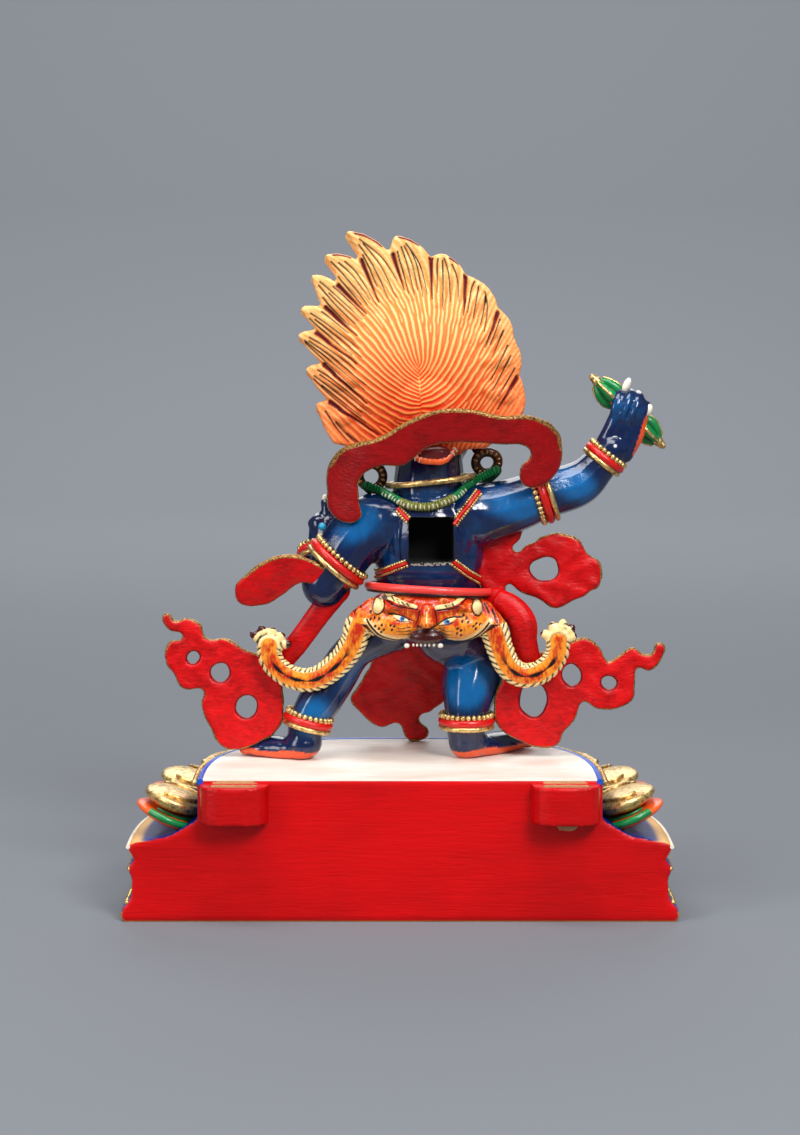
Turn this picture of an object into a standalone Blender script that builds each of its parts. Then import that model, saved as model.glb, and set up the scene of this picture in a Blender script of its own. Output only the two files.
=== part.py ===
"""A painted cast-resin statuette of Vajrapani on a half-round lotus throne.

Two castings: the throne, with a flat back wall, two sockets for a flame halo and a
mortise for each foot, and the figure, whose feet are pegged into those mortises.
The figure faces -Y, so its right hand, with the vajra, is on the -X side.
The origin is at floor level, in the middle of the throne's bottom moulding.
"""

import math

import bmesh
import bpy
from mathutils import Euler, Matrix, Vector

MM = 0.001

# The throne, in millimetres
THRONE_WIDTH = 177.0
THRONE_DEPTH = 100.0
THRONE_HEIGHT = 45.7
PLATFORM_WIDTH = 128.0
PLAN_POWER = 3.0
PLAN_STEPS = 32
GOLD_PETALS = 9
GOLD_THICKNESS = 7.0
GOLD_TILT = 18.0
LEAF_PETALS = 10
LEAF_THICKNESS = 5.0
LEAF_TILT = 17.0
PETAL_WIDTH_SHARE = 0.95

# The sockets for the halo, on the back wall
SOCKET_WIDTH = 21.5
SOCKET_HEIGHT = 12.0
SOCKET_SPACING = 104.4
SOCKET_CORNER = 4.5
SLOT_WIDTH = 14.5
SLOT_THICKNESS = 5.0
SLOT_DEPTH = 9.0
SOCKET_WALL = 4.0
SOCKET_DROP = 1.2

# The figure, and how it stands on the throne
FIGURE_HEIGHT = 172.0
PEG_LENGTH = 12.0
PEG_WIDTH = 5.0
PEG_DEPTH = 6.0
PEG_CLEARANCE = 0.4
MORTISE_SPARE_LENGTH = 7.0
SOLE_GAP = 0.3
CAVITY_WIDTH = 14.5
CAVITY_HEIGHT = 15.0
CAVITY_DEPTH = 15.0
SCARF_THICKNESS = 3.4
CASTING_GRAIN = 0.8
FIGURE_FACES = 6300

# Worked out from those
WALL_Y = THRONE_DEPTH / 2
FLARE = (THRONE_WIDTH - PLATFORM_WIDTH) / 2
PLATFORM_DEPTH = THRONE_DEPTH - FLARE
GOLD_LENGTH = 0.90 * FLARE
LEAF_LENGTH = 0.98 * FLARE
SOCKET_REACH = SLOT_THICKNESS + SOCKET_WALL
DRAWN_HEIGHT = 172.0
SHARE = FIGURE_HEIGHT / DRAWN_HEIGHT

# The throne's profile: the share of the flare, and the share of the height
THRONE_PROFILE = (
    (0.97, 0.0), (1.0, 0.035), (0.98, 0.10), (0.89, 0.14), (0.86, 0.21), (0.85, 0.30),
    (0.89, 0.35), (0.89, 0.39), (0.82, 0.44), (0.89, 0.50), (0.88, 0.555), (0.60, 0.58),
    (0.34, 0.61), (0.0, 0.72), (0.0, 1.0),
)

# Points of the figure as drawn, in millimetres from the throne's middle and its platform
SPINE_X = -9.5
HEAD = (SPINE_X, -1.0, 107.0)
RIGHT_ARM = ((-25, 8, 79), (-36, 8, 82), (-47, 7, 86), (-58.5, 6, 89.5), (-64, 5.5, 94.5), (-69, 5, 100))
RIGHT_ARM_RADII = (10.5, 9.0, 8.2, 7.4, 6.2, 5.0)
LEFT_ARM = ((8, 8, 76), (15, 9.5, 71), (20.5, 11, 63), (24.5, 11, 57))
LEFT_ARM_RADII = (10.5, 10.0, 9.0, 7.6)
LEFT_FOREARM = ((24.5, 11, 56.5), (26.0, 1, 59), (26.0, -8, 64), (25.5, -13, 71))
LEFT_FOREARM_RADII = (7.4, 6.2, 5.0, 4.4)
LEFT_LEG = ((3, 8, 43), (15, 7, 34.5), (21.5, 6.5, 25), (26, 8.5, 18.5), (30.5, 11, 10.5), (31, 11.5, 5))
LEFT_LEG_RADII = (9.0, 7.4, 7.4, 7.2, 6.0, 5.6)
RIGHT_THIGH = ((-16, 8, 42), (-24, -1, 36), (-30, -9, 31))
RIGHT_THIGH_RADII = (12.0, 11.5, 10.0)
RIGHT_SHIN = ((-30, -8, 31), (-24, 3, 24.5), (-21.8, 9.5, 13), (-21.8, 10, 5))
RIGHT_SHIN_RADII = (9.6, 10.6, 7.0, 6.0)
RIGHT_FOOT = ((-20.8, 12.0), (-41.5, -9.0))
LEFT_FOOT = ((29.0, 14.5), (51.0, 3.0))
FOOT_WIDTH = 10.5
FOOT_HEIGHT = 8.0
VAJRA_ENDS = ((-62.5, 1.0, 123.7), (-85.9, 1.0, 101.0))
CAVITY_AT = (-10.0, 22.0, 72.2)
BROW = ((1.8, 13.4, 4.4), (5.5, 12.8, 6.2), (9.8, 9.0, 7.0))

# The flame of hair: its tips and, after each, the notch before the next one
HAIR_MIDDLE = (-5.5, 12.5, 127.0)
HAIR_TIPS = (
    (27.1, 115.5), (30.4, 126.9), (32.9, 137.8), (32.0, 146.3), (28.3, 156.9), (24.3, 163.3),
    (17.6, 171.0), (1.6, 169.6), (-13.0, 163.9), (-25.5, 155.0), (-33.6, 144.5), (-37.6, 134.5),
    (-40.0, 120.0),
)
HAIR_NOTCHES = (
    (22.6, 116.3), (24.4, 128.3), (26.0, 138.9), (24.6, 146.3), (20.1, 154.0), (13.0, 161.2),
    (3.4, 163.9), (-9.9, 162.5), (-21.1, 157.0), (-31.4, 146.4), (-36.4, 137.2), (-38.3, 125.1),
)
HAIR_FOOT = ((-38.0, 110.0), (-28.0, 100.0), (-10.0, 96.5), (10.0, 98.0), (21.5, 103.0))
HOOKED_LOCKS = (5, 6)
LOCK_CREST = 0.13
LOCK_BELLY = 0.05
LOCK_HOOK = -0.10
HAIR_LOCK_ROOT = 0.42
HAIR_EDGE = 0.5

# The scarf: outlines seen from behind, as (x, height)
ARCH = (
    (22.0, 80.0), (23.6, 88.0), (22.9, 96.3), (17.7, 102.4), (6.7, 105.9), (-2.0, 111.1),
    (-11.9, 115.0), (-22.3, 115.2), (-31.6, 113.1), (-42.5, 112.5), (-50.2, 107.8), (-52.3, 101.8),
    (-50.0, 93.0), (-40.0, 90.0), (-38.5, 96.0), (-41.8, 100.2), (-39.8, 102.9), (-32.7, 103.6),
    (-19.6, 104.3), (-9.2, 102.9), (-1.5, 97.1), (6.7, 96.3), (12.7, 92.5), (13.2, 86.0), (13.0, 79.0),
)
CURL = (
    (-40.0, 76.0), (-40.0, 72.7), (-37.0, 67.5), (-41.7, 69.4), (-49.8, 73.0), (-57.9, 71.1),
    (-61.0, 67.0), (-65.0, 63.5), (-65.6, 56.9), (-60.7, 52.8), (-57.5, 50.9), (-51.0, 48.6),
    (-44.5, 51.5), (-37.7, 54.5), (-35.2, 56.0), (-34.2, 52.0), (-31.0, 49.0), (-26.0, 56.0),
    (-25.0, 66.0), (-27.0, 76.0),
)
CURL_HOLES = ((-47.1, 61.3, 4.4, 3.9),)
RIGHT_TAIL = (
    (-33.1, 25.0), (-30.7, 18.7), (-31.8, 10.4), (-38.0, 5.5), (-44.0, 3.3), (-51.0, 3.4),
    (-53.5, 7.5), (-57.8, 13.2), (-59.9, 18.1), (-64.5, 15.6), (-71.0, 16.0), (-76.2, 19.2),
    (-76.6, 25.0), (-77.5, 29.0), (-81.8, 28.6), (-85.8, 32.9), (-86.1, 36.7), (-83.6, 37.2),
    (-82.0, 34.0), (-79.0, 33.9), (-75.7, 36.2), (-71.2, 33.4), (-67.6, 31.5), (-65.2, 35.9),
    (-60.0, 39.2), (-53.0, 36.7), (-44.0, 34.0), (-36.0, 34.0),
)
RIGHT_TAIL_HOLES = ((-43.5, 18.8, 4.4, 5.6), (-56.0, 26.9, 2.9, 3.6), (-68.1, 24.4, 2.4, 2.4))
LEFT_TAIL = (
    (38.5, 24.0), (37.9, 15.5), (40.1, 8.7), (46.8, 4.3), (53.5, 2.0), (59.1, 4.0), (62.6, 10.8),
    (64.9, 16.5), (64.3, 21.8), (70.3, 22.3), (73.9, 27.0), (76.9, 32.7), (74.9, 37.8),
    (71.0, 39.6), (75.5, 42.1), (77.5, 45.8), (75.3, 47.2), (73.1, 44.6), (69.1, 45.8), (64.8, 43.5),
    (63.2, 39.2), (57.2, 39.1), (50.2, 35.4), (45.0, 33.0), (39.0, 30.0),
)
LEFT_TAIL_HOLES = ((67.4, 32.7, 2.0, 2.2), (58.5, 27.8, 3.0, 3.1), (50.2, 16.5, 3.4, 3.8))
LEFT_LOOP = (
    (14.0, 59.5), (22.5, 62.5), (30.4, 66.7), (38.3, 67.4), (45.2, 64.5), (50.2, 60.7), (53.7, 55.0),
    (51.2, 50.8), (42.3, 51.0), (35.4, 56.0), (30.4, 58.0), (23.5, 55.5), (18.0, 56.0),
)
FRONT_CLOTH = (
    (5.0, 38.0), (10.0, 26.0), (14.4, 18.2), (16.5, 14.1), (13.0, 9.0), (7.0, 4.7), (0.1, 5.4),
    (-2.3, 0.6), (-8.2, -0.6), (-9.5, 3.4), (-6.5, 7.4), (-10.6, 10.0), (-15.1, 13.8), (-16.9, 24.0),
    (-18.0, 38.0),
)
LEFT_RIBBON = ((20.0, 12, 55.0), (26.2, 12, 47.4), (30.0, 11, 42.1), (33.7, 10, 37.1), (38.5, 9, 31.5))
RIGHT_RIBBON = (
    (-31.5, 11, 52.0), (-37.0, 13, 48.5), (-39.8, 14, 44.1), (-40.3, 13, 38.7), (-42.0, 11, 32.0),
)
CLOTH_BRIDGE = ((-8.0, -14.0, 41.0), (-6.0, -18.0, 30.0), (-4.0, -19.5, 20.0))

# The tiger skin's two hanging legs, seen from behind
LEFT_PAW = (
    (9.0, 20, 50.3), (13.4, 21, 44.8), (15.1, 20, 38.8), (18.6, 18, 33.3), (23.5, 17, 28.8),
    (28.5, 16, 26.3), (34.4, 16, 26.8), (39.9, 16, 29.8), (43.8, 16, 33.8), (45.0, 16, 38.3),
)
RIGHT_PAW = (
    (-26.0, 20, 50.0), (-29.5, 21, 42.5), (-32.2, 20, 36.0), (-35.4, 18, 30.6), (-39.7, 17, 27.9),
    (-44.5, 17, 28.5), (-49.3, 17, 31.7), (-52.1, 17, 35.6), (-53.0, 17, 39.8),
)
PAW_RADII = (5.0, 4.6, 4.3, 4.1, 4.0, 3.9, 3.8, 3.8, 3.9, 4.1)

# Each band's middle, half-widths, thickness and tilt: collar, belt, armlets, bracelets, anklets
BANDS = (
    ((SPINE_X, 6.5, 90.0), (12.2, 12.0), 1.4, (-6, -6, 0)),
    ((SPINE_X, 6.5, 54.8), (19.6, 16.5), 1.7, (0, -1, 0)),
    ((-46.5, 7, 85.8), (8.6, 8.8), 1.9, (0, -72, 0)),
    ((20.2, 11, 64.2), (9.6, 9.2), 1.9, (0, -41, 0)),
    ((-66.6, 5, 97.6), (6.2, 6.2), 1.6, (0, -38, 0)),
    ((27.2, -6.5, 64.6), (5.6, 5.6), 1.5, (35, 0, 0)),
    ((30.0, 11, 12.0), (7.0, 7.0), 1.7, (0, -15, 0)),
    ((-21.8, 9.5, 11.8), (8.0, 8.0), 1.7, (0, 0, 0)),
)

# The snake worn about the neck
SNAKE = (
    (8.5, 14, 87.5), (0.0, 20.5, 84.8), (-10.6, 22.5, 83.6), (-21.0, 20.5, 86.0), (-31.0, 14, 92.5),
    (-30.0, 2, 92), (-20.0, -8.5, 82), (-9.5, -11.0, 76), (1.0, -8.5, 80), (9.0, 2, 86),
)
SNAKE_RADIUS = 1.8

SKIN = ("skin", (0.004, 0.035, 0.105, 1), 0.25, 0.0)
RED = ("throne_red", (0.55, 0.01, 0.012, 1), 0.45, 0.0)


def clear_scene():
    for old in list(bpy.data.objects):
        bpy.data.objects.remove(old, do_unlink=True)


def collection(name):
    made = bpy.data.collections.new(name)
    bpy.context.scene.collection.children.link(made)
    return made


def painted(obj, paint):
    """One Principled material of that colour, roughness and metallic value."""
    name, colour, roughness, metallic = paint
    material = bpy.data.materials.get(name) or bpy.data.materials.new(name)
    material.use_nodes = True
    shader = material.node_tree.nodes["Principled BSDF"]
    shader.inputs["Base Color"].default_value = colour
    shader.inputs["Roughness"].default_value = roughness
    shader.inputs["Metallic"].default_value = metallic
    obj.data.materials.clear()
    obj.data.materials.append(material)


def from_bmesh(shape, name="form"):
    mesh = bpy.data.meshes.new(name)
    shape.to_mesh(mesh)
    shape.free()
    return bpy.data.objects.new(name, mesh)


def on_figure(point):
    """A drawn point of the figure, in metres from the origin, at the figure's real height."""
    x, y, z = point
    return Vector((x * SHARE, y * SHARE, THRONE_HEIGHT + SOLE_GAP + z * SHARE)) * MM


def ball(middle, radii, turn=(0, 0, 0), segments=20):
    """An ellipsoid of the figure, its radii in drawn millimetres, turned by angles in degrees."""
    shape = bmesh.new()
    bmesh.ops.create_uvsphere(shape, u_segments=segments, v_segments=segments // 2, radius=1)
    turned = Euler([math.radians(a) for a in turn]).to_matrix().to_4x4()
    scaled = Matrix.Diagonal([r * SHARE * MM for r in radii] + [1])
    shape.transform(Matrix.Translation(on_figure(middle)) @ turned @ scaled)
    return from_bmesh(shape)


def mesh_of(curve_object, name="form"):
    """The curve as a mesh with its caps welded, in the curve's place."""
    bpy.context.scene.collection.objects.link(curve_object)
    bpy.context.view_layer.update()
    evaluated = curve_object.evaluated_get(bpy.context.evaluated_depsgraph_get())
    mesh = bpy.data.meshes.new_from_object(evaluated)
    bpy.data.objects.remove(curve_object)
    shape = bmesh.new()
    shape.from_mesh(mesh)
    bpy.data.meshes.remove(mesh)
    bmesh.ops.remove_doubles(shape, verts=shape.verts, dist=1e-6)
    return from_bmesh(shape, name)


def limb(points, radii, flat=1.0, closed=False):
    """A round tube through drawn points, its radius given at each; flat squeezes its depth."""
    curve = bpy.data.curves.new("limb", "CURVE")
    curve.dimensions = "3D"
    curve.bevel_depth = MM * SHARE
    curve.bevel_resolution = 4
    curve.use_fill_caps = True
    spline = curve.splines.new("BEZIER")
    spline.bezier_points.add(len(points) - 1)
    spline.resolution_u = 5
    spline.use_cyclic_u = closed
    level = on_figure(points[len(points) // 2]).y
    for knot, place, radius in zip(spline.bezier_points, points, radii):
        knot.co = on_figure(place)
        knot.radius = radius
        knot.handle_left_type = knot.handle_right_type = "AUTO"
    tube = mesh_of(bpy.data.objects.new("limb", curve))
    for vertex in tube.data.vertices:
        vertex.co.y = level + (vertex.co.y - level) * flat
    return tube


def rounded_limb(points, radii, flat=1.0):
    """A limb with a ball at each end, so that it blends into the body."""
    ends = [ball(points[i], (radii[i], radii[i] * flat, radii[i])) for i in (0, -1)]
    return [limb(points, radii, flat), *ends]


def ring(middle, radii, thickness, turn=(0, 0, 0)):
    """A round-sectioned band about the limb at middle: half-widths across and deep, and its thickness."""
    turned = Euler([math.radians(a) for a in turn]).to_matrix()
    steps = [math.tau * i / 12 for i in range(12)]
    around = [turned @ Vector((radii[0] * math.cos(a), radii[1] * math.sin(a), 0)) for a in steps]
    points = [Vector(middle) + place for place in around]
    return limb(points, [thickness] * len(points), closed=True)


def smooth_outline(curve, outline, sharp=False):
    """Adds a closed outline of drawn (x, height) points to a flat curve, smooth unless sharp."""
    spline = curve.splines.new("BEZIER")
    spline.bezier_points.add(len(outline) - 1)
    spline.resolution_u = 1 if sharp else 4
    spline.use_cyclic_u = True
    for knot, (x, height) in zip(spline.bezier_points, outline):
        knot.co = (x * SHARE * MM, height * SHARE * MM, 0)
        knot.handle_left_type = knot.handle_right_type = "VECTOR" if sharp else "AUTO"


def oval_outline(x, height, half_width, half_height):
    steps = [math.tau * i / 8 for i in range(8)]
    return [(x + half_width * math.cos(a), height + half_height * math.sin(a)) for a in steps]


def plate(outline, depth, thickness, rounding=1.0, holes=(), sharp=False, lean=None):
    """A flat cloth or flame cut to an outline, standing at that depth; lean(x, height) moves it in depth."""
    curve = bpy.data.curves.new("plate", "CURVE")
    curve.dimensions = "2D"
    curve.fill_mode = "BOTH"
    curve.extrude = (thickness / 2 - rounding) * SHARE * MM
    curve.bevel_depth = rounding * SHARE * MM
    curve.offset = -rounding * SHARE * MM
    curve.bevel_resolution = 1
    smooth_outline(curve, outline, sharp)
    for hole in holes:
        smooth_outline(curve, oval_outline(*hole))
    flat = mesh_of(bpy.data.objects.new("plate", curve))
    flat.data.transform(Matrix.Rotation(math.pi / 2, 4, "X"))
    base = on_figure((0, depth, 0))
    flat.data.transform(Matrix.Translation(base))
    if lean:
        for vertex in flat.data.vertices:
            drawn_x = vertex.co.x / MM / SHARE
            drawn_height = (vertex.co.z - base.z) / MM / SHARE
            vertex.co.y += lean(drawn_x, drawn_height) * SHARE * MM
    return flat


def body():
    torso = [
        ball((SPINE_X, 8, 47), (20, 15, 10.5)),
        ball((SPINE_X, 1, 59), (18, 17, 14)),
        ball((SPINE_X, 6.5, 66), (18, 14, 14)),
        ball((SPINE_X, 7, 76), (21, 13, 13)),
        ball((SPINE_X, 14.5, 72), (13.5, 7.5, 13)),
    ]
    neck = rounded_limb(((SPINE_X, 7, 82), (SPINE_X, 5, 98)), (11.0, 10.2))
    arms = [
        *rounded_limb(RIGHT_ARM, RIGHT_ARM_RADII),
        *rounded_limb(LEFT_ARM, LEFT_ARM_RADII),
        *rounded_limb(LEFT_FOREARM, LEFT_FOREARM_RADII),
    ]
    legs = [
        *rounded_limb(LEFT_LEG, LEFT_LEG_RADII),
        *rounded_limb(RIGHT_THIGH, RIGHT_THIGH_RADII),
        *rounded_limb(RIGHT_SHIN, RIGHT_SHIN_RADII),
    ]
    return torso + neck + arms + legs


def foot(heel, toe):
    """A stocky foot from heel to toe, flat below, with a row of toes."""
    heel, toe = Vector((*heel, 0)), Vector((*toe, 0))
    along = (toe - heel).normalized()
    across = Vector((-along.y, along.x, 0))
    length = (toe - heel).length
    angle = math.degrees(math.atan2(along.y, along.x))
    turn = (0, 0, angle)
    up = Vector((0, 0, 1))
    parts = [
        ball(heel + along * 4 + up * FOOT_HEIGHT * 0.5, (6.0, FOOT_WIDTH * 0.48, FOOT_HEIGHT * 0.62), turn),
        ball(heel + along * length * 0.5 + up * 2.5, (length * 0.5, FOOT_WIDTH * 0.52, 4.0), turn),
        ball(heel + along * length * 0.7 + up * 2.3, (length * 0.3, FOOT_WIDTH * 0.6, 3.0), turn),
    ]
    for i in range(5):
        side = (i - 2) * FOOT_WIDTH * 0.21
        place = heel + along * (length - 1.6 - 0.5 * abs(i - 2)) + across * side + up * 1.9
        parts.append(ball(place, (2.7, 1.4, 1.8), turn, 12))
    return parts


def hand(wrist, knuckles, palm_width, finger_tips):
    """A palm from the wrist to the knuckles, and a bent finger to each tip."""
    wrist, knuckles = Vector(wrist), Vector(knuckles)
    along = (knuckles - wrist).normalized()
    across = along.cross(Vector((0, 1, 0))).normalized() * palm_width / 2
    parts = [
        *rounded_limb((wrist + across * 0.25, knuckles + across * 0.55), (4.4, 3.4)),
        *rounded_limb((wrist - across * 0.25, knuckles - across * 0.55), (4.4, 3.4)),
    ]
    for i, tip in enumerate(finger_tips):
        root = knuckles + across * (1.2 - 0.8 * i)
        tip = Vector(tip)
        bend = (root + tip) / 2 + along * 2.0
        parts.extend(rounded_limb((root, bend, tip), (1.9, 1.8, 1.4)))
    return parts


def hands():
    right_tips = ((-71.5, 3.5, 122.5), (-74.5, -3.5, 116), (-78.0, -3.5, 114.5), (-81.0, 2.0, 113.5))
    left_tips = ((22.5, -15, 80.0), (25.0, -15, 81.0), (27.5, -17, 75), (28.0, -17, 72))
    right = hand((-69, 5, 101), (-75.3, 4.5, 113), 8.5, right_tips)
    left = hand((25.5, -12, 68), (25.2, -13.5, 74), 7.0, left_tips)
    return right + left


def vajra():
    """The thunderbolt: a waisted grip and at each end a bud of five prongs."""
    start, end = (Vector(p) for p in VAJRA_ENDS)
    parts = [limb((start, start.lerp(end, 0.5), end), (0.7, 2.0, 0.7))]
    axis = (end - start).normalized()
    sides = (axis.cross(Vector((0, 1, 0))).normalized(), Vector((0, 1, 0)))
    for tip, root in ((0.0, 0.34), (1.0, 0.66)):
        collar = start.lerp(end, root)
        crest = start.lerp(end, (tip + root) / 2)
        knob = start.lerp(end, tip * 0.9 + 0.05)
        parts.append(ball(collar, (3.3, 3.3, 3.3), segments=12))
        parts.append(ball(crest, (3.4, 3.4, 3.4), segments=12))
        parts.append(ball(knob, (2.0, 2.0, 2.0), segments=12))
        for side in (*sides, -sides[0], -sides[1]):
            parts.append(limb((collar, crest + side * 3.8, knob), (1.7, 1.6, 1.1)))
    return parts


def head():
    """The wrathful face, to the general pattern of such figures, under a crown of five skulls."""
    x, y, z = HEAD
    parts = [
        ball(HEAD, (14.5, 14, 16)),
        ball((x, y - 4, z - 8), (12.0, 10.5, 8.5)),
        ball((x, y - 13.8, z - 3.5), (3.6, 3.4, 3.0)),
        ball((x, y - 12.4, z + 0.5), (2.0, 3.0, 4.5)),
        ball((x, y - 13.2, z + 8.0), (1.7, 1.8, 2.7)),
        ball((x, y - 12.8, z - 9.5), (5.5, 2.6, 1.4)),
        ball((x, y - 11.0, z - 14.0), (5.0, 3.5, 2.6)),
    ]
    for side in (-1, 1):
        parts += [
            ball((x + side * 5.3, y - 11.8, z + 1.5), (3.0, 2.6, 2.5)),
            ball((x + side * 7.2, y - 9.5, z - 5.0), (4.2, 3.8, 3.6)),
            ball((x + side * 3.0, y - 13.2, z - 4.3), (2.0, 2.0, 1.7)),
            ball((x + side * 14.6, y + 1.5, z), (1.8, 3.2, 5.0)),
            *rounded_limb(
                [(x + side * out, y - ahead, z + up) for out, ahead, up in BROW],
                (1.3, 1.5, 0.9),
            ),
            ring((x + side * 18.0, y + 4.0, z - 10.0), (3.6, 3.6), 1.4, (90, 0, 12 * side)),
            ball((x + side * 15.6, y + 2.5, z - 6.0), (1.9, 1.7, 3.0)),
        ]
    return parts + crown()


def crown():
    x, y, z = HEAD
    level = z + 12.5
    parts = [ring((x, y + 0.5, level), (13.6, 13.4), 1.7, (-8, 0, 0))]
    for i in range(5):
        angle = math.radians((i - 2) * 34)
        out = Vector((math.sin(angle), -math.cos(angle), 0))
        place = Vector((x, y + 0.5, level + 2.6 - 1.4 * out.y)) + out * 14.2
        turn = (0, 0, math.degrees(angle))
        parts += [
            ball(place, (3.1, 2.6, 3.0), turn, 14),
            ball(place + Vector((0, 0, -2.4)) + out * 0.4, (2.0, 2.0, 1.8), turn, 10),
            ball(place + Vector((0, 0, 4.6)), (1.5, 1.3, 3.0), turn, 10),
        ]
    return parts


def bowed_edge(start, end, bulge, shares):
    """Points of a lock's edge between start and end, bowed outward by a share of its length."""
    start, end = Vector(start), Vector(end)
    leg = end - start
    outward = Vector((leg.y, -leg.x)) * bulge
    return [tuple(start + leg * s + outward * math.sin(math.pi * s)) for s in shares]


def hair_outline():
    """Notch, belly, tip and crest of each lock in turn, then the foot of the hair."""
    outline = []
    notches = (HAIR_FOOT[-1], *HAIR_NOTCHES, HAIR_FOOT[0])
    for i, tip in enumerate(HAIR_TIPS):
        belly = LOCK_HOOK if i in HOOKED_LOCKS else LOCK_BELLY
        outline += [notches[i], *bowed_edge(notches[i], tip, belly, (0.4, 0.8))]
        outline += [tip, *bowed_edge(tip, notches[i + 1], LOCK_CREST, (0.12, 0.35, 0.7))]
    return outline + list(HAIR_FOOT[:-1])


def hair():
    """The upswept flame of hair: a domed mass cut to the outline of its locks, with a ridge to each tip."""
    middle = Vector((HAIR_MIDDLE[0], HAIR_MIDDLE[2]))
    parts = [
        plate(hair_outline(), HAIR_MIDDLE[1], 6.0, HAIR_EDGE, sharp=True),
        ball(HAIR_MIDDLE, (31, 10.5, 29)),
        ball((SPINE_X, 6, 112), (17, 15, 17)),
    ]
    before = [HAIR_FOOT[-1], *HAIR_NOTCHES]
    for tip, start, end in zip(HAIR_TIPS, before, (*HAIR_NOTCHES, HAIR_FOOT[0])):
        tip, waist = Vector(tip), (Vector(start) + Vector(end)) / 2
        root = middle.lerp(waist, HAIR_LOCK_ROOT)
        path = [(p.x, HAIR_MIDDLE[1], p.y) for p in (root, waist.lerp(root, 0.25), tip.lerp(waist, 0.08))]
        parts.append(limb(path, (5.6, 4.4, 1.6), flat=1.35))
    return parts


def arch_lean(x, height):
    """The scarf springs forward to each shoulder and its upper edge leans back."""
    half_span = 38.0
    across = (x + 14.5) / half_span
    return -13.0 * across**4 + 0.30 * (height - 104.0) * (1 - min(1.0, across**2))


def scarf():
    parts = [
        plate(ARCH, 26.5, SCARF_THICKNESS, lean=arch_lean),
        plate(CURL, 6.0, SCARF_THICKNESS, holes=CURL_HOLES),
        plate(RIGHT_TAIL, 10.0, SCARF_THICKNESS, holes=RIGHT_TAIL_HOLES),
        plate(LEFT_TAIL, 10.0, SCARF_THICKNESS, holes=LEFT_TAIL_HOLES),
        plate(LEFT_LOOP, 16.0, SCARF_THICKNESS, lean=lambda x, height: 0.3 * (height - 58.0)),
        plate(FRONT_CLOTH, -19.5, SCARF_THICKNESS, lean=lambda x, height: 0.12 * max(0.0, height - 20.0)),
        *rounded_limb(LEFT_RIBBON, (4.0, 3.9, 3.8, 3.8, 3.8), flat=0.5),
        *rounded_limb(RIGHT_RIBBON, (4.0, 4.6, 4.8, 4.4, 4.0), flat=0.7),
        limb(CLOTH_BRIDGE, (6.0, 5.0, 3.0), flat=0.6),
    ]
    return parts


def paw(path):
    """A hanging leg of the tiger skin, ending in a spread paw with four claws."""
    tip, before = Vector(path[-1]), Vector(path[-2])
    along = (tip - before).normalized()
    across = Vector((along.z, 0, -along.x))
    parts = rounded_limb(path, PAW_RADII[: len(path)], flat=0.62)
    for i in range(4):
        side = (i - 1.5) * 2.3
        place = tip + across * side + along * (3.6 - 0.5 * abs(i - 1.5))
        parts.append(ball(place, (1.6, 1.7, 1.9), segments=10))
    return parts


def tiger_skin():
    x = SPINE_X + 0.8
    mask = [
        ball((SPINE_X, 9.5, 47), (21.5, 16.5, 9.5)),
        ball((x, 20.5, 49.5), (16.5, 5.5, 5.5)),
        ball((x, 26.0, 47.2), (3.4, 2.6, 4.2)),
        ball((x, 24.5, 42.2), (4.6, 3.2, 2.8)),
        ball((SPINE_X, -2, 44), (20, 14, 9)),
    ]
    for side in (-1, 1):
        mask += [
            ball((x + side * 10.0, 20.5, 43.8), (9.5, 6.0, 5.4)),
            ball((x + side * 8.0, 25.0, 52.0), (5.0, 2.0, 1.5), (0, -12 * side, 0)),
            ball((x + side * 14.8, 23.0, 49.6), (2.2, 1.8, 3.0), segments=12),
        ]
    return mask + paw(LEFT_PAW) + paw(RIGHT_PAW)


def ornaments():
    """The gold rings, the belt and the snake about the neck."""
    bands = [ring(*band) for band in BANDS]
    return [*bands, limb(SNAKE, [SNAKE_RADIUS] * len(SNAKE), closed=True)]


def fused(name, forms, grain, faces):
    """The forms cast as one: a voxel remesh closes them into one skin, then it is thinned out."""
    shape = bmesh.new()
    for form in forms:
        shape.from_mesh(form.data)
        bpy.data.objects.remove(form)
    obj = from_bmesh(shape, name)
    remesh = obj.modifiers.new("cast", "REMESH")
    remesh.mode = "VOXEL"
    remesh.voxel_size = grain * MM
    soften = obj.modifiers.new("soften", "SMOOTH")
    soften.factor = 0.5
    soften.iterations = 2
    thin = obj.modifiers.new("thin", "DECIMATE")
    bpy.context.scene.collection.objects.link(obj)
    bpy.context.view_layer.update()
    thin.ratio = 1.0
    evaluated = obj.evaluated_get(bpy.context.evaluated_depsgraph_get())
    full = sum(len(face.vertices) - 2 for face in evaluated.data.polygons)
    thin.ratio = faces / full
    bpy.context.scene.collection.objects.unlink(obj)
    return obj


def block(low, high, corner=0.0):
    """A box between two corners in millimetres, its upright edges rounded and its foot chamfered."""
    low, high = Vector(low) * MM, Vector(high) * MM
    shape = bmesh.new()
    size = high - low
    placed = Matrix.Translation((low + high) / 2) @ Matrix.Diagonal((*size, 1))
    bmesh.ops.create_cube(shape, size=1.0, matrix=placed)
    if corner:
        upright = [edge for edge in shape.edges if abs(edge.verts[0].co.z - edge.verts[1].co.z) > size.z / 2]
        bmesh.ops.bevel(shape, geom=upright, offset=corner * MM, segments=4, profile=0.5, affect="EDGES")
        foot = [edge for edge in shape.edges if max(v.co.z for v in edge.verts) < low.z + MM * 0.01]
        bmesh.ops.bevel(shape, geom=foot, offset=corner / 3 * MM, segments=1, affect="EDGES")
    return from_bmesh(shape)


def joined(forms, name="forms"):
    shape = bmesh.new()
    for form in forms:
        shape.from_mesh(form.data)
        bpy.data.objects.remove(form)
    return from_bmesh(shape, name)


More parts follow.
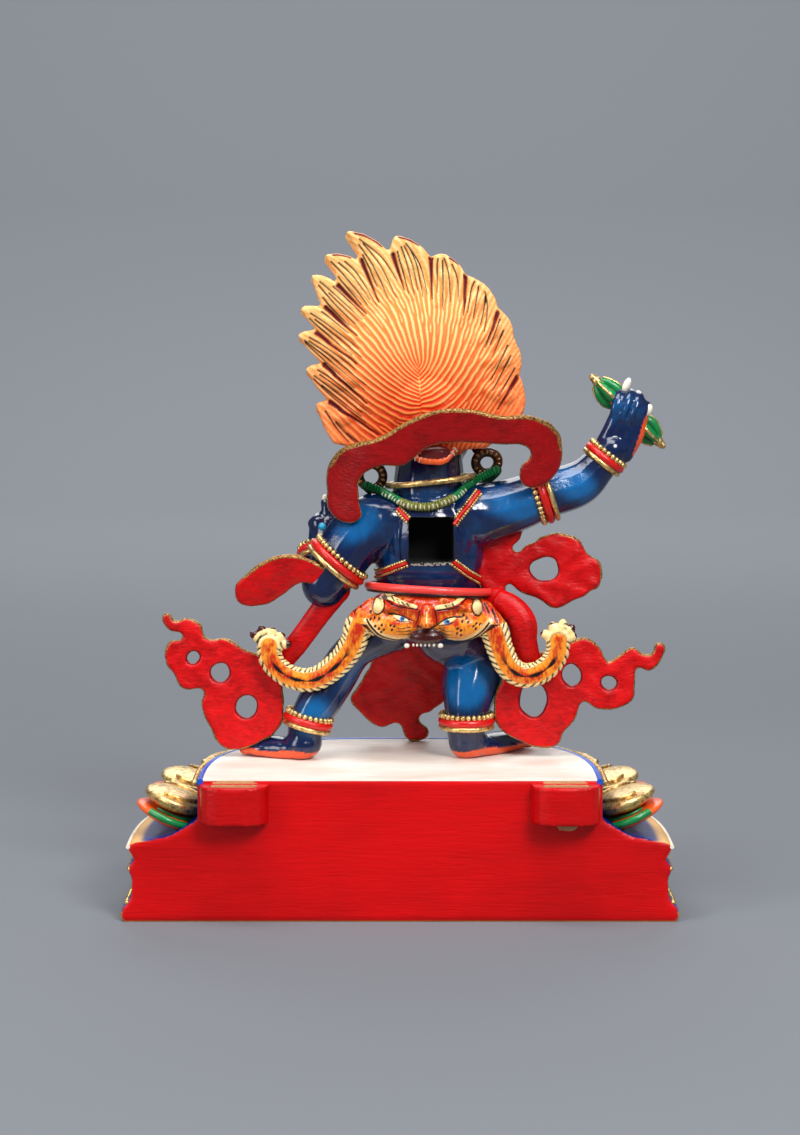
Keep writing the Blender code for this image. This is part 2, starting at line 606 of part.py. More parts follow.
def combine(target, tool, operation, tools):
    """A Boolean on target with tool, which stays in the tools collection and isn't rendered."""
    tools.objects.link(tool)
    tool.hide_render = True
    tool.display_type = "WIRE"
    step = target.modifiers.new(operation.lower(), "BOOLEAN")
    step.operation = operation
    step.object = tool


def foot_peg(feet, growth, spare, top, bottom):
    """The upright peg under one foot, or its mortise when grown and lengthened."""
    heel, toe = (Vector((*p, 0)) * SHARE for p in feet)
    along = (toe - heel).normalized()
    middle = heel + along * (PEG_LENGTH / 2 + 1.0)
    half = Vector(((PEG_LENGTH + spare) / 2 + growth, PEG_WIDTH / 2 + growth, 0))
    made = block((-half.x, -half.y, bottom), (half.x, half.y, top))
    turned = Matrix.Rotation(math.atan2(along.y, along.x), 4, "Z")
    made.data.transform(Matrix.Translation(middle * MM) @ turned)
    return made


def figure(parts, tools):
    forms = body() + foot(*RIGHT_FOOT) + foot(*LEFT_FOOT) + hands() + vajra()
    forms += head() + hair() + scarf() + tiger_skin() + ornaments()
    cast = fused("figure", forms, CASTING_GRAIN * SHARE, FIGURE_FACES)
    parts.objects.link(cast)
    sole = THRONE_HEIGHT + SOLE_GAP
    below = block((-THRONE_WIDTH, -THRONE_DEPTH, 0.0), (THRONE_WIDTH, THRONE_DEPTH, sole))
    combine(cast, below, "DIFFERENCE", tools)
    pegs = [foot_peg(feet, 0.0, 0.0, sole + 3.0, sole - PEG_DEPTH) for feet in (LEFT_FOOT, RIGHT_FOOT)]
    combine(cast, joined(pegs, "pegs"), "UNION", tools)
    middle = on_figure(CAVITY_AT) / MM
    half = Vector((CAVITY_WIDTH / 2, 0, CAVITY_HEIGHT / 2))
    cavity = block(middle - half + Vector((0, -CAVITY_DEPTH, 0)), middle + half + Vector((0, 20, 0)))
    combine(cast, cavity, "DIFFERENCE", tools)
    painted(cast, SKIN)
    return cast


def plan_point(outset, angle):
    """A point of the throne's plan, outset from the platform's edge; angle 0 and pi are at the wall."""
    half_width = PLATFORM_WIDTH / 2 + outset
    depth = PLATFORM_DEPTH + outset
    across = math.cos(angle)
    ahead = math.sin(angle)
    x = half_width * math.copysign(abs(across) ** (2 / PLAN_POWER), across)
    y = WALL_Y - depth * abs(ahead) ** (2 / PLAN_POWER)
    return Vector((x, y, 0))


def throne_core():
    """The stepped body: the profile carried round the front and closed by the flat back wall."""
    shape = bmesh.new()
    rows = []
    for flare, height in THRONE_PROFILE:
        angles = [math.pi * i / PLAN_STEPS for i in range(PLAN_STEPS + 1)]
        level = Vector((0, 0, height * THRONE_HEIGHT))
        rows.append([shape.verts.new((plan_point(flare * FLARE, a) + level) * MM) for a in angles])
    for lower, upper in zip(rows, rows[1:]):
        for i in range(PLAN_STEPS):
            shape.faces.new((lower[i], upper[i], upper[i + 1], lower[i + 1]))
    shape.faces.new(rows[0])
    shape.faces.new(reversed(rows[-1]))
    shape.faces.new([row[0] for row in reversed(rows)] + [row[-1] for row in rows])
    bmesh.ops.recalc_face_normals(shape, faces=shape.faces)
    return from_bmesh(shape, "lotus_throne")


def stations(outset, count):
    """Places spaced evenly round the front, as (point, outward direction), and their pitch."""
    steps = 400
    fine = [plan_point(outset, math.pi * i / steps) for i in range(steps + 1)]
    reach = [0.0]
    for a, b in zip(fine, fine[1:]):
        reach.append(reach[-1] + (b - a).length)
    pitch = reach[-1] / count
    found = []
    for k in range(count):
        i = min(range(1, steps), key=lambda n: abs(reach[n] - (k + 0.5) * pitch))
        along = (fine[i + 1] - fine[i - 1]).normalized()
        found.append((fine[i], Vector((along.y, -along.x, 0))))
    return found, pitch


def petal(place, outward, length, width, thickness, height, tilt):
    """A swollen petal lying outward from place, dipping by tilt degrees, its narrowed tip turned up."""
    shape = bmesh.new()
    turned = Matrix.Rotation(math.pi / 2, 4, "Y")
    bmesh.ops.create_uvsphere(shape, u_segments=10, v_segments=6, radius=1, matrix=turned)
    for vertex in shape.verts:
        towards_tip = max(0.0, vertex.co.x)
        vertex.co.y *= 1 - 0.3 * towards_tip
        vertex.co.z += 0.3 * towards_tip**4
    scaled = Matrix.Diagonal((length / 2 * MM, width / 2 * MM, thickness / 2 * MM, 1))
    dipped = Matrix.Rotation(math.radians(tilt), 4, "Y")
    faced = Matrix.Rotation(math.atan2(outward.y, outward.x), 4, "Z")
    moved = Matrix.Translation((place + Vector((0, 0, height))) * MM)
    shape.transform(moved @ faced @ dipped @ scaled)
    return from_bmesh(shape, "petal")


def petal_row(target, tools, count, length, thickness, outset, height, tilt):
    """A row of petals joined to the throne, every other one at a time so that neighbours may touch."""
    places, pitch = stations(outset, count)
    width = pitch * PETAL_WIDTH_SHARE
    row = [petal(place, outward, length, width, thickness, height, tilt) for place, outward in places]
    combine(target, joined(row[0::2], "petals"), "UNION", tools)
    combine(target, joined(row[1::2], "petals"), "UNION", tools)


def lotus_throne(parts, tools):
    throne = throne_core()
    parts.objects.link(throne)
    leaf_outset, leaf_height = 0.36 * FLARE, 0.64 * THRONE_HEIGHT
    gold_outset, gold_height = 0.29 * FLARE, 0.785 * THRONE_HEIGHT
    petal_row(throne, tools, LEAF_PETALS, LEAF_LENGTH, LEAF_THICKNESS, leaf_outset, leaf_height, LEAF_TILT)
    petal_row(throne, tools, GOLD_PETALS, GOLD_LENGTH, GOLD_THICKNESS, gold_outset, gold_height, GOLD_TILT)
    top = THRONE_HEIGHT - SOCKET_DROP
    for side in (-1, 1):
        middle = side * SOCKET_SPACING / 2
        strap = block(
            (middle - SOCKET_WIDTH / 2, WALL_Y - 3, top - SOCKET_HEIGHT),
            (middle + SOCKET_WIDTH / 2, WALL_Y + SOCKET_REACH, top),
            SOCKET_CORNER,
        )
        combine(throne, strap, "UNION", tools)
    for side in (-1, 1):
        middle = side * SOCKET_SPACING / 2
        slot = block(
            (middle - SLOT_WIDTH / 2, WALL_Y, top - SLOT_DEPTH),
            (middle + SLOT_WIDTH / 2, WALL_Y + SLOT_THICKNESS, THRONE_HEIGHT + 3),
        )
        combine(throne, slot, "DIFFERENCE", tools)
    for feet in (LEFT_FOOT, RIGHT_FOOT):
        floor = THRONE_HEIGHT - PEG_DEPTH - PEG_CLEARANCE
        mortise = foot_peg(feet, PEG_CLEARANCE, MORTISE_SPARE_LENGTH, THRONE_HEIGHT + 3, floor)
        combine(throne, mortise, "DIFFERENCE", tools)
    painted(throne, RED)
    return throne


def main():
    clear_scene()
    parts = collection("vajrapani_statue")
    tools = collection("cutters_and_joined_forms")
    lotus_throne(parts, tools)
    figure(parts, tools)


main()
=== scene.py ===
# %% [markdown]
# # A painted statuette of Vajrapani, seen from behind
# The real thing is two resin castings, painted by hand: the figure, and the half-round lotus throne
# that its feet are pegged into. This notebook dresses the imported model: it sculpts each painted area
# as a piece of its own, and gives it a paint made of nodes.

import math

import bpy
import numpy as np
from mathutils import Euler, Matrix, Vector
from mathutils.bvhtree import BVHTree


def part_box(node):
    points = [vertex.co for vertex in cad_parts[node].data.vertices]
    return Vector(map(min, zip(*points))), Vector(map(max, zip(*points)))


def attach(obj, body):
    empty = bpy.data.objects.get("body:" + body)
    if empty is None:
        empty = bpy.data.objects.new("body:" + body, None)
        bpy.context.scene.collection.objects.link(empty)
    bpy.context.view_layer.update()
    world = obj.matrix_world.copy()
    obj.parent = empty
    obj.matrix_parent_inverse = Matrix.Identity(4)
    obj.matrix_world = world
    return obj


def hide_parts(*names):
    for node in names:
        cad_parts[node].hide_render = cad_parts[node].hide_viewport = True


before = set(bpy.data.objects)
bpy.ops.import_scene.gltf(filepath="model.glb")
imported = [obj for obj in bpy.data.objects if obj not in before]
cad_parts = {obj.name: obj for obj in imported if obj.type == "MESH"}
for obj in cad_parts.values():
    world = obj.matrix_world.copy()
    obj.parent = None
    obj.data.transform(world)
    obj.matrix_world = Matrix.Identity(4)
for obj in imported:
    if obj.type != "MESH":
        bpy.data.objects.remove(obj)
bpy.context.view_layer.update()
figure_low, figure_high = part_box("figure")

# %% [markdown]
# ## The frame of the drawing
# The figure is drawn in millimetres from the middle of the platform, and its soles stand 0.3 mm
# above it. X runs to the figure's left, Y from its front to its back, and Z up.

# %% Units and places
MM = 0.001
SOLE_GAP = 0.3
SPINE_X = -9.5
PLATFORM = 45.7
WALL_Y = 50.0
sole_height = PLATFORM + SOLE_GAP
print("figure from", round(figure_low.z / MM, 1), "to", round(figure_high.z / MM, 1), "mm")


def at(x, y, z):
    """A drawn point of the figure, in metres."""
    return Vector((x, y, z + sole_height)) * MM


# %% [markdown]
# ## Tools for modelling
# Each form starts as a primitive or a curve, is placed, and has its place applied to its mesh, so
# that every finished piece sits at the origin. Nothing else may be selected while an operator runs,
# so each helper clears the selection first.

# %% Selection, balls and applied modifiers
def deselect():
    if bpy.context.object and bpy.context.object.mode != "OBJECT":
        bpy.ops.object.mode_set(mode="OBJECT")
    bpy.ops.object.select_all(action="DESELECT")


def choose(obj):
    deselect()
    obj.select_set(True)
    bpy.context.view_layer.objects.active = obj


def apply_place(obj):
    choose(obj)
    bpy.ops.object.transform_apply(location=True, rotation=True, scale=True)
    return obj


def ball(middle, radii, turn=(0, 0, 0), segments=24):
    """An ellipsoid, its radii in millimetres, turned by angles in degrees."""
    deselect()
    bpy.ops.mesh.primitive_uv_sphere_add(segments=segments, ring_count=segments // 2, radius=MM)
    obj = bpy.context.object
    obj.location = at(*middle)
    obj.rotation_euler = [math.radians(angle) for angle in turn]
    obj.scale = radii
    return apply_place(obj)


def apply_modifier(obj, kind, **settings):
    choose(obj)
    modifier = obj.modifiers.new(kind.lower(), kind)
    for key, value in settings.items():
        setattr(modifier, key, value)
    bpy.ops.object.modifier_apply(modifier=modifier.name)
    return obj


def join(name, forms):
    """Joins the forms into one object of that name."""
    choose(forms[0])
    for form in forms:
        form.select_set(True)
    if len(forms) > 1:
        bpy.ops.object.join()
    joined = bpy.context.object
    joined.name = name
    joined.data.name = name
    return joined


def shade_smooth(obj, angle=40):
    choose(obj)
    bpy.ops.object.shade_smooth_by_angle(angle=math.radians(angle))
    return obj


print("selection tools: deselect, choose, apply_place, apply_modifier, join")

# %% [markdown]
# Limbs, ribbons and rings are bevelled curves. Flat cloth is a filled 2-D curve, cut to its outline
# and stood upright.

# %% Limbs, rings and plates
def to_mesh(obj):
    choose(obj)
    bpy.ops.object.convert(target="MESH")
    obj = bpy.context.object
    bpy.ops.object.mode_set(mode="EDIT")
    bpy.ops.mesh.select_all(action="SELECT")
    bpy.ops.mesh.remove_doubles(threshold=1e-6)
    bpy.ops.mesh.normals_make_consistent(inside=False)
    bpy.ops.object.mode_set(mode="OBJECT")
    return obj


def new_curve(name, dimensions):
    curve = bpy.data.curves.new(name, "CURVE")
    curve.dimensions = dimensions
    obj = bpy.data.objects.new(name, curve)
    bpy.context.scene.collection.objects.link(obj)
    return obj


def limb(points, radii, flat=1.0, closed=False, sides=4, steps=8):
    """A round tube through drawn points, its radius given at each; flat squeezes its depth."""
    obj = new_curve("limb", "3D")
    curve = obj.data
    curve.bevel_depth = MM
    curve.bevel_resolution = sides
    curve.use_fill_caps = True
    spline = curve.splines.new("BEZIER")
    spline.bezier_points.add(len(points) - 1)
    spline.resolution_u = steps
    spline.use_cyclic_u = closed
    for knot, place, radius in zip(spline.bezier_points, points, radii):
        knot.co = at(*place)
        knot.radius = radius
        knot.handle_left_type = knot.handle_right_type = "AUTO"
    obj = to_mesh(obj)
    if flat != 1.0:
        level = at(*points[len(points) // 2]).y
        for vertex in obj.data.vertices:
            vertex.co.y = level + (vertex.co.y - level) * flat
    return obj


def rounded_limb(points, radii, flat=1.0):
    ends = [ball(points[i], (radii[i], radii[i] * flat, radii[i])) for i in (0, -1)]
    return [limb(points, radii, flat), *ends]


def loop_points(middle, radii, turn=(0, 0, 0), count=16, lift=0.0):
    """Points round an ellipse about middle, tilted by turn and lifted along its axis."""
    turned = Euler([math.radians(angle) for angle in turn]).to_matrix()
    steps = [math.tau * i / count for i in range(count)]
    flat = [Vector((radii[0] * math.cos(a), radii[1] * math.sin(a), lift)) for a in steps]
    return [Vector(middle) + turned @ place for place in flat]


def ring(middle, radii, thickness, turn=(0, 0, 0), lift=0.0):
    points = loop_points(middle, radii, turn, 16, lift)
    return limb(points, [thickness] * len(points), closed=True, sides=3, steps=5)


def outline_spline(curve, outline, sharp=False):
    spline = curve.splines.new("BEZIER")
    spline.bezier_points.add(len(outline) - 1)
    spline.resolution_u = 2 if sharp else 6
    spline.use_cyclic_u = True
    for knot, (x, height) in zip(spline.bezier_points, outline):
        knot.co = (x * MM, height * MM, 0)
        knot.handle_left_type = knot.handle_right_type = "VECTOR" if sharp else "AUTO"


def oval(x, height, half_width, half_height, count=12):
    steps = [math.tau * i / count for i in range(count)]
    return [(x + half_width * math.cos(a), height + half_height * math.sin(a)) for a in steps]


def plate(outline, depth, thickness, rounding=1.0, holes=(), sharp=False):
    """A flat shape cut to an outline seen from behind, standing at that depth."""
    obj = new_curve("plate", "2D")
    curve = obj.data
    curve.fill_mode = "BOTH"
    curve.extrude = (thickness / 2 - rounding) * MM
    curve.bevel_depth = rounding * MM
    curve.offset = -rounding * MM
    curve.bevel_resolution = 2
    outline_spline(curve, outline, sharp)
    for hole in holes:
        outline_spline(curve, hole)
    obj = to_mesh(obj)
    obj.rotation_euler = (math.pi / 2, 0, 0)
    obj.location = at(0, depth, 0)
    return apply_place(obj)


print("forms: ball, limb, ring, oval, plate")

# %% [markdown]
# A voxel remesh melts joined forms into one skin, as clay is blended over an armature. Carving comes
# after it: positions and normals go to numpy arrays, a function says how far each point moves along
# its normal, and painted layers are stored as attributes that the paint reads.

# %% Melting, carving and painting
def melt(name, forms, grain, smoothing=2):
    """One skin round the joined forms, its voxels of the size of grain, in millimetres."""
    obj = join(name, forms)
    apply_modifier(obj, "REMESH", mode="VOXEL", voxel_size=grain * MM)
    if smoothing:
        apply_modifier(obj, "SMOOTH", factor=0.5, iterations=smoothing)
    return shade_smooth(obj, 60)


def places(obj):
    """The points of a mesh in drawn millimetres, one row each."""
    flat = np.empty(len(obj.data.vertices) * 3, np.float32)
    obj.data.vertices.foreach_get("co", flat)
    return flat.reshape(-1, 3).astype(float) / MM - np.array([0, 0, sole_height])


def normals(obj):
    flat = np.empty(len(obj.data.vertices) * 3, np.float32)
    obj.data.vertices.foreach_get("normal", flat)
    return flat.reshape(-1, 3).astype(float)


def put(obj, points):
    """Writes drawn points back to the mesh."""
    world = (points + np.array([0, 0, sole_height])) * MM
    obj.data.vertices.foreach_set("co", world.astype(np.float32).ravel())
    obj.data.update()


def carve(obj, amount):
    """Moves each point along its normal by its amount, in millimetres."""
    put(obj, places(obj) + normals(obj) * amount[:, None])


def layer(obj, name, values):
    """Stores one number for each point of the mesh."""
    attribute = obj.data.attributes.get(name) or obj.data.attributes.new(name, "FLOAT", "POINT")
    attribute.data.foreach_set("value", np.asarray(values, np.float32))


print("modelling tools: melt, places, normals, put, carve, layer")

# %% Distances and even spacing
def smooth(low, high, values):
    """0 below low, 1 above high, and a soft step between."""
    t = np.clip((values - low) / (high - low), 0, 1)
    return t * t * (3 - 2 * t)


def to_path(points, path):
    """For each point: distance to a polyline, arc length at the nearest place, and that place."""
    path = np.array(path, float)
    start, leg = path[:-1], np.diff(path, axis=0)
    reach = np.linalg.norm(leg, axis=1)
    run = np.concatenate([[0], np.cumsum(reach)])
    best = np.full(len(points), 1e9)
    arc = np.zeros(len(points))
    near = np.zeros((len(points), path.shape[1]))
    for i in range(len(leg)):
        t = np.clip(((points - start[i]) @ leg[i]) / max(reach[i] ** 2, 1e-9), 0, 1)
        foot = start[i] + t[:, None] * leg[i]
        distance = np.linalg.norm(points - foot, axis=1)
        closer = distance < best
        best[closer] = distance[closer]
        arc[closer] = (run[i] + t * reach[i])[closer]
        near[closer] = foot[closer]
    return best, arc, near


def sampled(points, steps=8):
    """A smooth path through the points, as many short steps."""
    points = [np.array(point, float) for point in points]
    found = []
    for i in range(len(points) - 1):
        a, b, c = points[max(i - 1, 0)], points[i], points[i + 1]
        d = points[min(i + 2, len(points) - 1)]
        for k in range(steps):
            t = k / steps
            straight = 2 * b + (c - a) * t
            bent = (2 * a - 5 * b + 4 * c - d) * t**2
            twisted = (3 * b - a - 3 * c + d) * t**3
            found.append(0.5 * (straight + bent + twisted))
    found.append(points[-1])
    return found


def spaced(path, pitch):
    """Places an even pitch apart along a path, with the direction at each."""
    path = np.array(path, float)
    reach = np.concatenate([[0], np.cumsum(np.linalg.norm(np.diff(path, axis=0), axis=1))])
    count = max(2, round(reach[-1] / pitch))
    wants = (np.arange(count) + 0.5) * reach[-1] / count
    spots = np.stack([np.interp(wants, reach, path[:, k]) for k in range(path.shape[1])], axis=1)
    ahead = np.stack([np.interp(wants + 0.2, reach, path[:, k]) for k in range(path.shape[1])], axis=1)
    return spots, ahead - spots


print("path tools: smooth, to_path, sampled, spaced")

# %% Beads and tints
def bead_row(path, pitch, radii, tint=0.0):
    """A string of small beads along a path, copied from one bead and joined."""
    deselect()
    bpy.ops.mesh.primitive_uv_sphere_add(segments=8, ring_count=6, radius=MM)
    bead = bpy.context.object
    copies = []
    spots, directions = spaced(path, pitch)
    for spot, direction in zip(spots, directions):
        copy = bead.copy()
        copy.data = bead.data.copy()
        bpy.context.scene.collection.objects.link(copy)
        copy.location = at(*spot)
        copy.rotation_euler = Vector(direction).to_track_quat("X", "Z").to_euler()
        copy.scale = radii
        copies.append(copy)
    bpy.data.objects.remove(bead)
    row = join("beads", copies)
    apply_place(row)
    return tinted(row, tint)


def tinted(obj, value):
    """Marks a whole form with the number of its paint."""
    layer(obj, "tint", np.full(len(obj.data.vertices), value))
    return obj


print("small forms: bead_row, tinted")

# %% [markdown]
# ## Paints
# A paint is a Principled shader with a little arithmetic in front of it. The class below wraps one
# output socket, so that masks can be written as sums; colours go through Mix nodes.

# %% Shader arithmetic
class Wire:
    def __init__(self, paint, socket):
        self.paint = paint
        self.socket = socket

    def math(self, operation, *others):
        return self.paint.node("Math", {"operation": operation}, dict(enumerate((self, *others))))

    def flipped(self, operation, other):
        return self.paint.node("Math", {"operation": operation}, {0: other, 1: self})

    def __add__(self, other):
        return self.math("ADD", other)

    def __sub__(self, other):
        return self.math("SUBTRACT", other)

    def __rsub__(self, other):
        return self.flipped("SUBTRACT", other)

    def __mul__(self, other):
        return self.math("MULTIPLY", other)

    def __truediv__(self, other):
        return self.math("DIVIDE", other)

    __radd__ = __add__
    __rmul__ = __mul__

    def step(self, low, high):
        """0 below low, 1 above high, soft between."""
        inputs = {"Value": self, "From Min": low, "From Max": high}
        return self.paint.node("MapRange", {"interpolation_type": "SMOOTHSTEP"}, inputs)


print("a wire takes + - * / and step")

# %% A paint being mixed
class Paint:
    """A material being mixed: its tree, its object coordinates and its Principled shader."""

    def __init__(self, name):
        self.material = bpy.data.materials.new(name)
        self.material.use_nodes = True
        self.tree = self.material.node_tree
        self.shader = self.tree.nodes["Principled BSDF"]
        self.place = self.node("TexCoord", {}, {}, "Object")
        split = self.tree.nodes.new("ShaderNodeSeparateXYZ")
        self.tree.links.new(self.place.socket, split.inputs[0])
        self.x, self.y, self.z = (Wire(self, output) / MM for output in split.outputs)

    def node(self, kind, settings, inputs, output=0):
        made = self.tree.nodes.new("ShaderNode" + kind)
        for key, value in settings.items():
            setattr(made, key, value)
        for key, value in inputs.items():
            if isinstance(value, Wire):
                self.tree.links.new(value.socket, made.inputs[key])
            else:
                made.inputs[key].default_value = value
        return Wire(self, made.outputs[output])

    def noise(self, scale, detail=2.0, stretch=(1, 1, 1), distortion=0.0):
        """Noise whose scale is in waves a millimetre, stretched along the axes."""
        sized = [scale / MM * part for part in stretch]
        moved = self.node("Mapping", {}, {"Vector": self.place, "Scale": sized})
        inputs = {"Vector": moved, "Scale": 1.0, "Detail": detail, "Distortion": distortion}
        return self.node("TexNoise", {}, inputs)

    def layer(self, name):
        return self.node("Attribute", {"attribute_name": name}, {}, "Fac")

    def mix(self, factor, first, second):
        inputs = {0: factor, 6: first, 7: second}
        return self.node("Mix", {"data_type": "RGBA", "clamp_factor": True}, inputs, 2)

    def finish(self, base, roughness=0.35, metallic=0.0, coat=0.0, bump=None, bump_height=0.1,
               specular=0.5):
        """Plugs the paint together; bump_height is in millimetres."""
        inputs = {"Base Color": base, "Roughness": roughness, "Metallic": metallic, "Coat Weight": coat}
        for key, value in inputs.items():
            if isinstance(value, Wire):
                self.tree.links.new(value.socket, self.shader.inputs[key])
            else:
                self.shader.inputs[key].default_value = value
        self.shader.inputs["Coat Roughness"].default_value = 0.08
        self.shader.inputs["Specular IOR Level"].default_value = specular
        if bump:
            inputs = {"Height": bump, "Strength": 1.0, "Distance": bump_height * MM}
            lifted = self.node("Bump", {}, inputs)
            self.tree.links.new(lifted.socket, self.shader.inputs["Normal"])
        return self.material


def colour(red, green, blue):
    """A paint colour given as on a screen, 0 to 255."""
    linear = [(part / 255) ** 2.2 for part in (red, green, blue)]
    return (*linear, 1.0)


print("cream is", [round(part, 3) for part in colour(238, 228, 208)])

# %% [markdown]
# The paints themselves. Every one is brushed by hand, so each has faint brush relief, uneven colour
# and a gloss that varies a little.

# %% Skin blue
def skin_paint():
    paint = Paint("blue_skin")
    brush = paint.noise(0.35, 4.0, (1, 1, 0.6), 0.5)
    fine = paint.noise(1.2, 3.0)
    # lit: the airbrushed lighter blue and painted highlight together
    lit = (paint.layer("lit") * 0.95 + (brush - 0.5) * 0.45).step(0.0, 1.05)
    base = paint.mix(lit, colour(2, 28, 66), colour(6, 98, 160))
    base = paint.mix(paint.layer("sole"), base, colour(232, 84, 36))
    # painted shade: black inside the cavity
    base = paint.mix(paint.layer("inside"), base, colour(0, 0, 0))
    chipped = (paint.layer("chips") + (fine - 0.5) * 2.2).step(0.75, 0.9)
    base = paint.mix(chipped, base, colour(190, 180, 165))
    rough = 0.10 + fine * 0.12 + paint.layer("inside") * 0.85
    coat = 0.4 - paint.layer("inside") * 0.4
    return paint.finish(base, rough, coat=coat, bump=fine * 0.4 + brush, bump_height=0.10, specular=0.45)


print("skin paint is defined")

# %% Scarf red
def red_paint(name, bright, dark, brush=0.9):
    """Red scarf paint: streaks of the brush, darker patches, and gold-brown along the rim."""
    paint = Paint(name)
    streaks = paint.noise(brush, 4.0, (0.5, 1, 1.3), 0.5)
    patches = paint.noise(0.10, 3.0)
    light = streaks * 0.6 + patches * 0.6 - paint.layer("shade") * 0.8
    base = paint.mix(light.step(0.25, 0.75), dark, bright)
    rim = (paint.layer("rim") + (paint.noise(0.8) - 0.5) * 0.35).step(0.4, 0.6)
    gilt = paint.mix(paint.noise(1.6).step(0.35, 0.65), colour(96, 62, 34), colour(186, 140, 78))
    base = paint.mix(rim, base, gilt)
    rough = 0.30 + streaks * 0.22
    return paint.finish(base, rough, rim * 0.4, 0.0, streaks, 0.22, specular=0.28)


print("red paint is defined")

# %% [markdown]
# Small ornaments are many colours of enamel beside gold. One paint serves them all: each form is
# marked with a number, and the paint picks the colour by that number.

# %% Gold and enamels
GOLD, RED, TURQUOISE, GREEN, CREAM, BLACK, ORANGE, BLUE, CORAL, OLIVE, BROWN, WINE = range(12)
ENAMEL_COLOURS = (
    colour(206, 20, 14), colour(22, 140, 176), colour(6, 124, 62), colour(238, 228, 208),
    colour(12, 8, 10), colour(236, 88, 26), colour(14, 84, 190), colour(240, 66, 58), colour(128, 132, 58),
    colour(74, 44, 26), colour(104, 8, 14),
)


def enamel_paint():
    paint = Paint("gold_and_enamel")
    worn = paint.noise(0.7, 4.0)
    fine = paint.noise(2.4, 2.0)
    tint = paint.layer("tint")
    base = paint.mix((worn * 0.8 + fine * 0.3).step(0.3, 0.66), colour(128, 82, 36), colour(240, 204, 132))
    for number, tone in enumerate(ENAMEL_COLOURS, start=1):
        base = paint.mix(tint.step(number - 0.6, number - 0.4), base, tone)
    metal = (1.0 - tint.step(0.4, 0.6)) * 0.85
    return paint.finish(base, 0.24 + worn * 0.16, metal, 0.15, worn + fine * 0.3, 0.14)


ENAMEL = enamel_paint()
SKIN = skin_paint()
SCARF = red_paint("scarf_red", colour(212, 6, 14), colour(134, 2, 8))
# painted shade: the arch is the same red scarf, painted darker because it leans back and down, away from
# the light
SCARF_SHADED = red_paint("scarf_red_painted_shade", colour(160, 4, 10), colour(104, 2, 6))
print("first paints mixed:", SKIN.name, SCARF.name, ENAMEL.name)

# %% Dressing a piece
def dress(obj, material):
    """Gives a piece its paint and the frame's body."""
    obj.data.materials.clear()
    obj.data.materials.append(material)
    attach(obj, "root")
    print(obj.name, len(obj.data.polygons), "faces")
    return obj


# %% [markdown]
# Painted details are brush strokes and spots worked out at each point of a mesh. Small pieces that lie
# on a bigger one are dropped onto it from behind, along a ray.

# %% Strokes, spots and laying on
def stroke(flat, path, width, taper=0.0, soft=0.12):
    """1 on a brush stroke of that width along a path, thinner towards its end by taper."""
    distance, arc, _ = to_path(flat, path)
    half = width / 2 * (1 - taper * arc / max(arc.max(), 1e-6))
    return 1 - smooth(half - soft, half + soft, distance)


def spot(flat, middle, radii, angle=0.0, soft=0.12):
    """1 inside an ellipse turned by angle, in degrees."""
    turn = math.radians(angle)
    a, b = flat[:, 0] - middle[0], flat[:, 1] - middle[1]
    u = (a * math.cos(turn) + b * math.sin(turn)) / radii[0]
    v = (b * math.cos(turn) - a * math.sin(turn)) / radii[1]
    edge = soft / min(radii)
    return 1 - smooth(1 - edge, 1 + edge, np.hypot(u, v))


def most(masks):
    return np.max(np.stack(list(masks)), axis=0)


def surface(obj):
    """A search tree over a piece's faces."""
    return BVHTree.FromObject(obj, bpy.context.evaluated_depsgraph_get())


def laid_on(tree, path, lift=0.0):
    """Drawn points of a path (x, z), dropped from behind onto a surface and lifted off it."""
    found = []
    for x, z in path:
        hit, facing, _, _ = tree.ray_cast(at(x, 80, z), Vector((0, -1, 0)))
        if hit is not None:
            place = (hit + facing * lift * MM) / MM
            found.append((place.x, place.y, place.z - sole_height))
    return found


# %% [markdown]
# ## The body
# One blended skin for torso, arms, legs, feet, hands and head, with a square cavity cut in the back.
# Real statuettes of this kind have it for a rolled prayer. Balls and tubes melted together keep the
# stocky, swollen look of a wrathful deity better than a mesh pulled from a cube would.

# %% Arms, legs and torso
RIGHT_ARM = ((-25, 8, 79), (-36, 8, 82), (-47, 7, 86), (-58.5, 6, 89.5), (-64, 5.5, 94.5), (-69, 5, 100))
RIGHT_ARM_RADII = (10.5, 9.0, 8.2, 7.4, 6.2, 5.0)
LEFT_ARM = ((8, 8, 76), (15, 9.5, 71), (20.5, 11, 63), (24.5, 11, 57))
LEFT_ARM_RADII = (10.5, 10.0, 9.0, 7.6)
LEFT_FOREARM = ((24.5, 11, 56.5), (26.0, 1, 59), (26.0, -8, 64), (25.5, -13, 71))
LEFT_FOREARM_RADII = (7.4, 6.2, 5.0, 4.4)
LEFT_LEG = ((3, 8, 43), (15, 7, 34.5), (21.5, 6.5, 25), (26, 8.5, 18.5), (30.5, 11, 10.5), (31, 11.5, 5))
LEFT_LEG_RADII = (9.0, 6.3, 6.9, 7.2, 6.0, 5.6)
RIGHT_THIGH = ((-16, 8, 42), (-24, -1, 36), (-30, -9, 31))
RIGHT_THIGH_RADII = (12.0, 11.5, 10.0)
RIGHT_SHIN = ((-30, -8, 31), (-24, 3, 24.5), (-21.8, 9.5, 13), (-21.8, 10, 5))
RIGHT_SHIN_RADII = (9.6, 10.6, 7.0, 6.0)
HEAD = (SPINE_X, -1.0, 107.0)


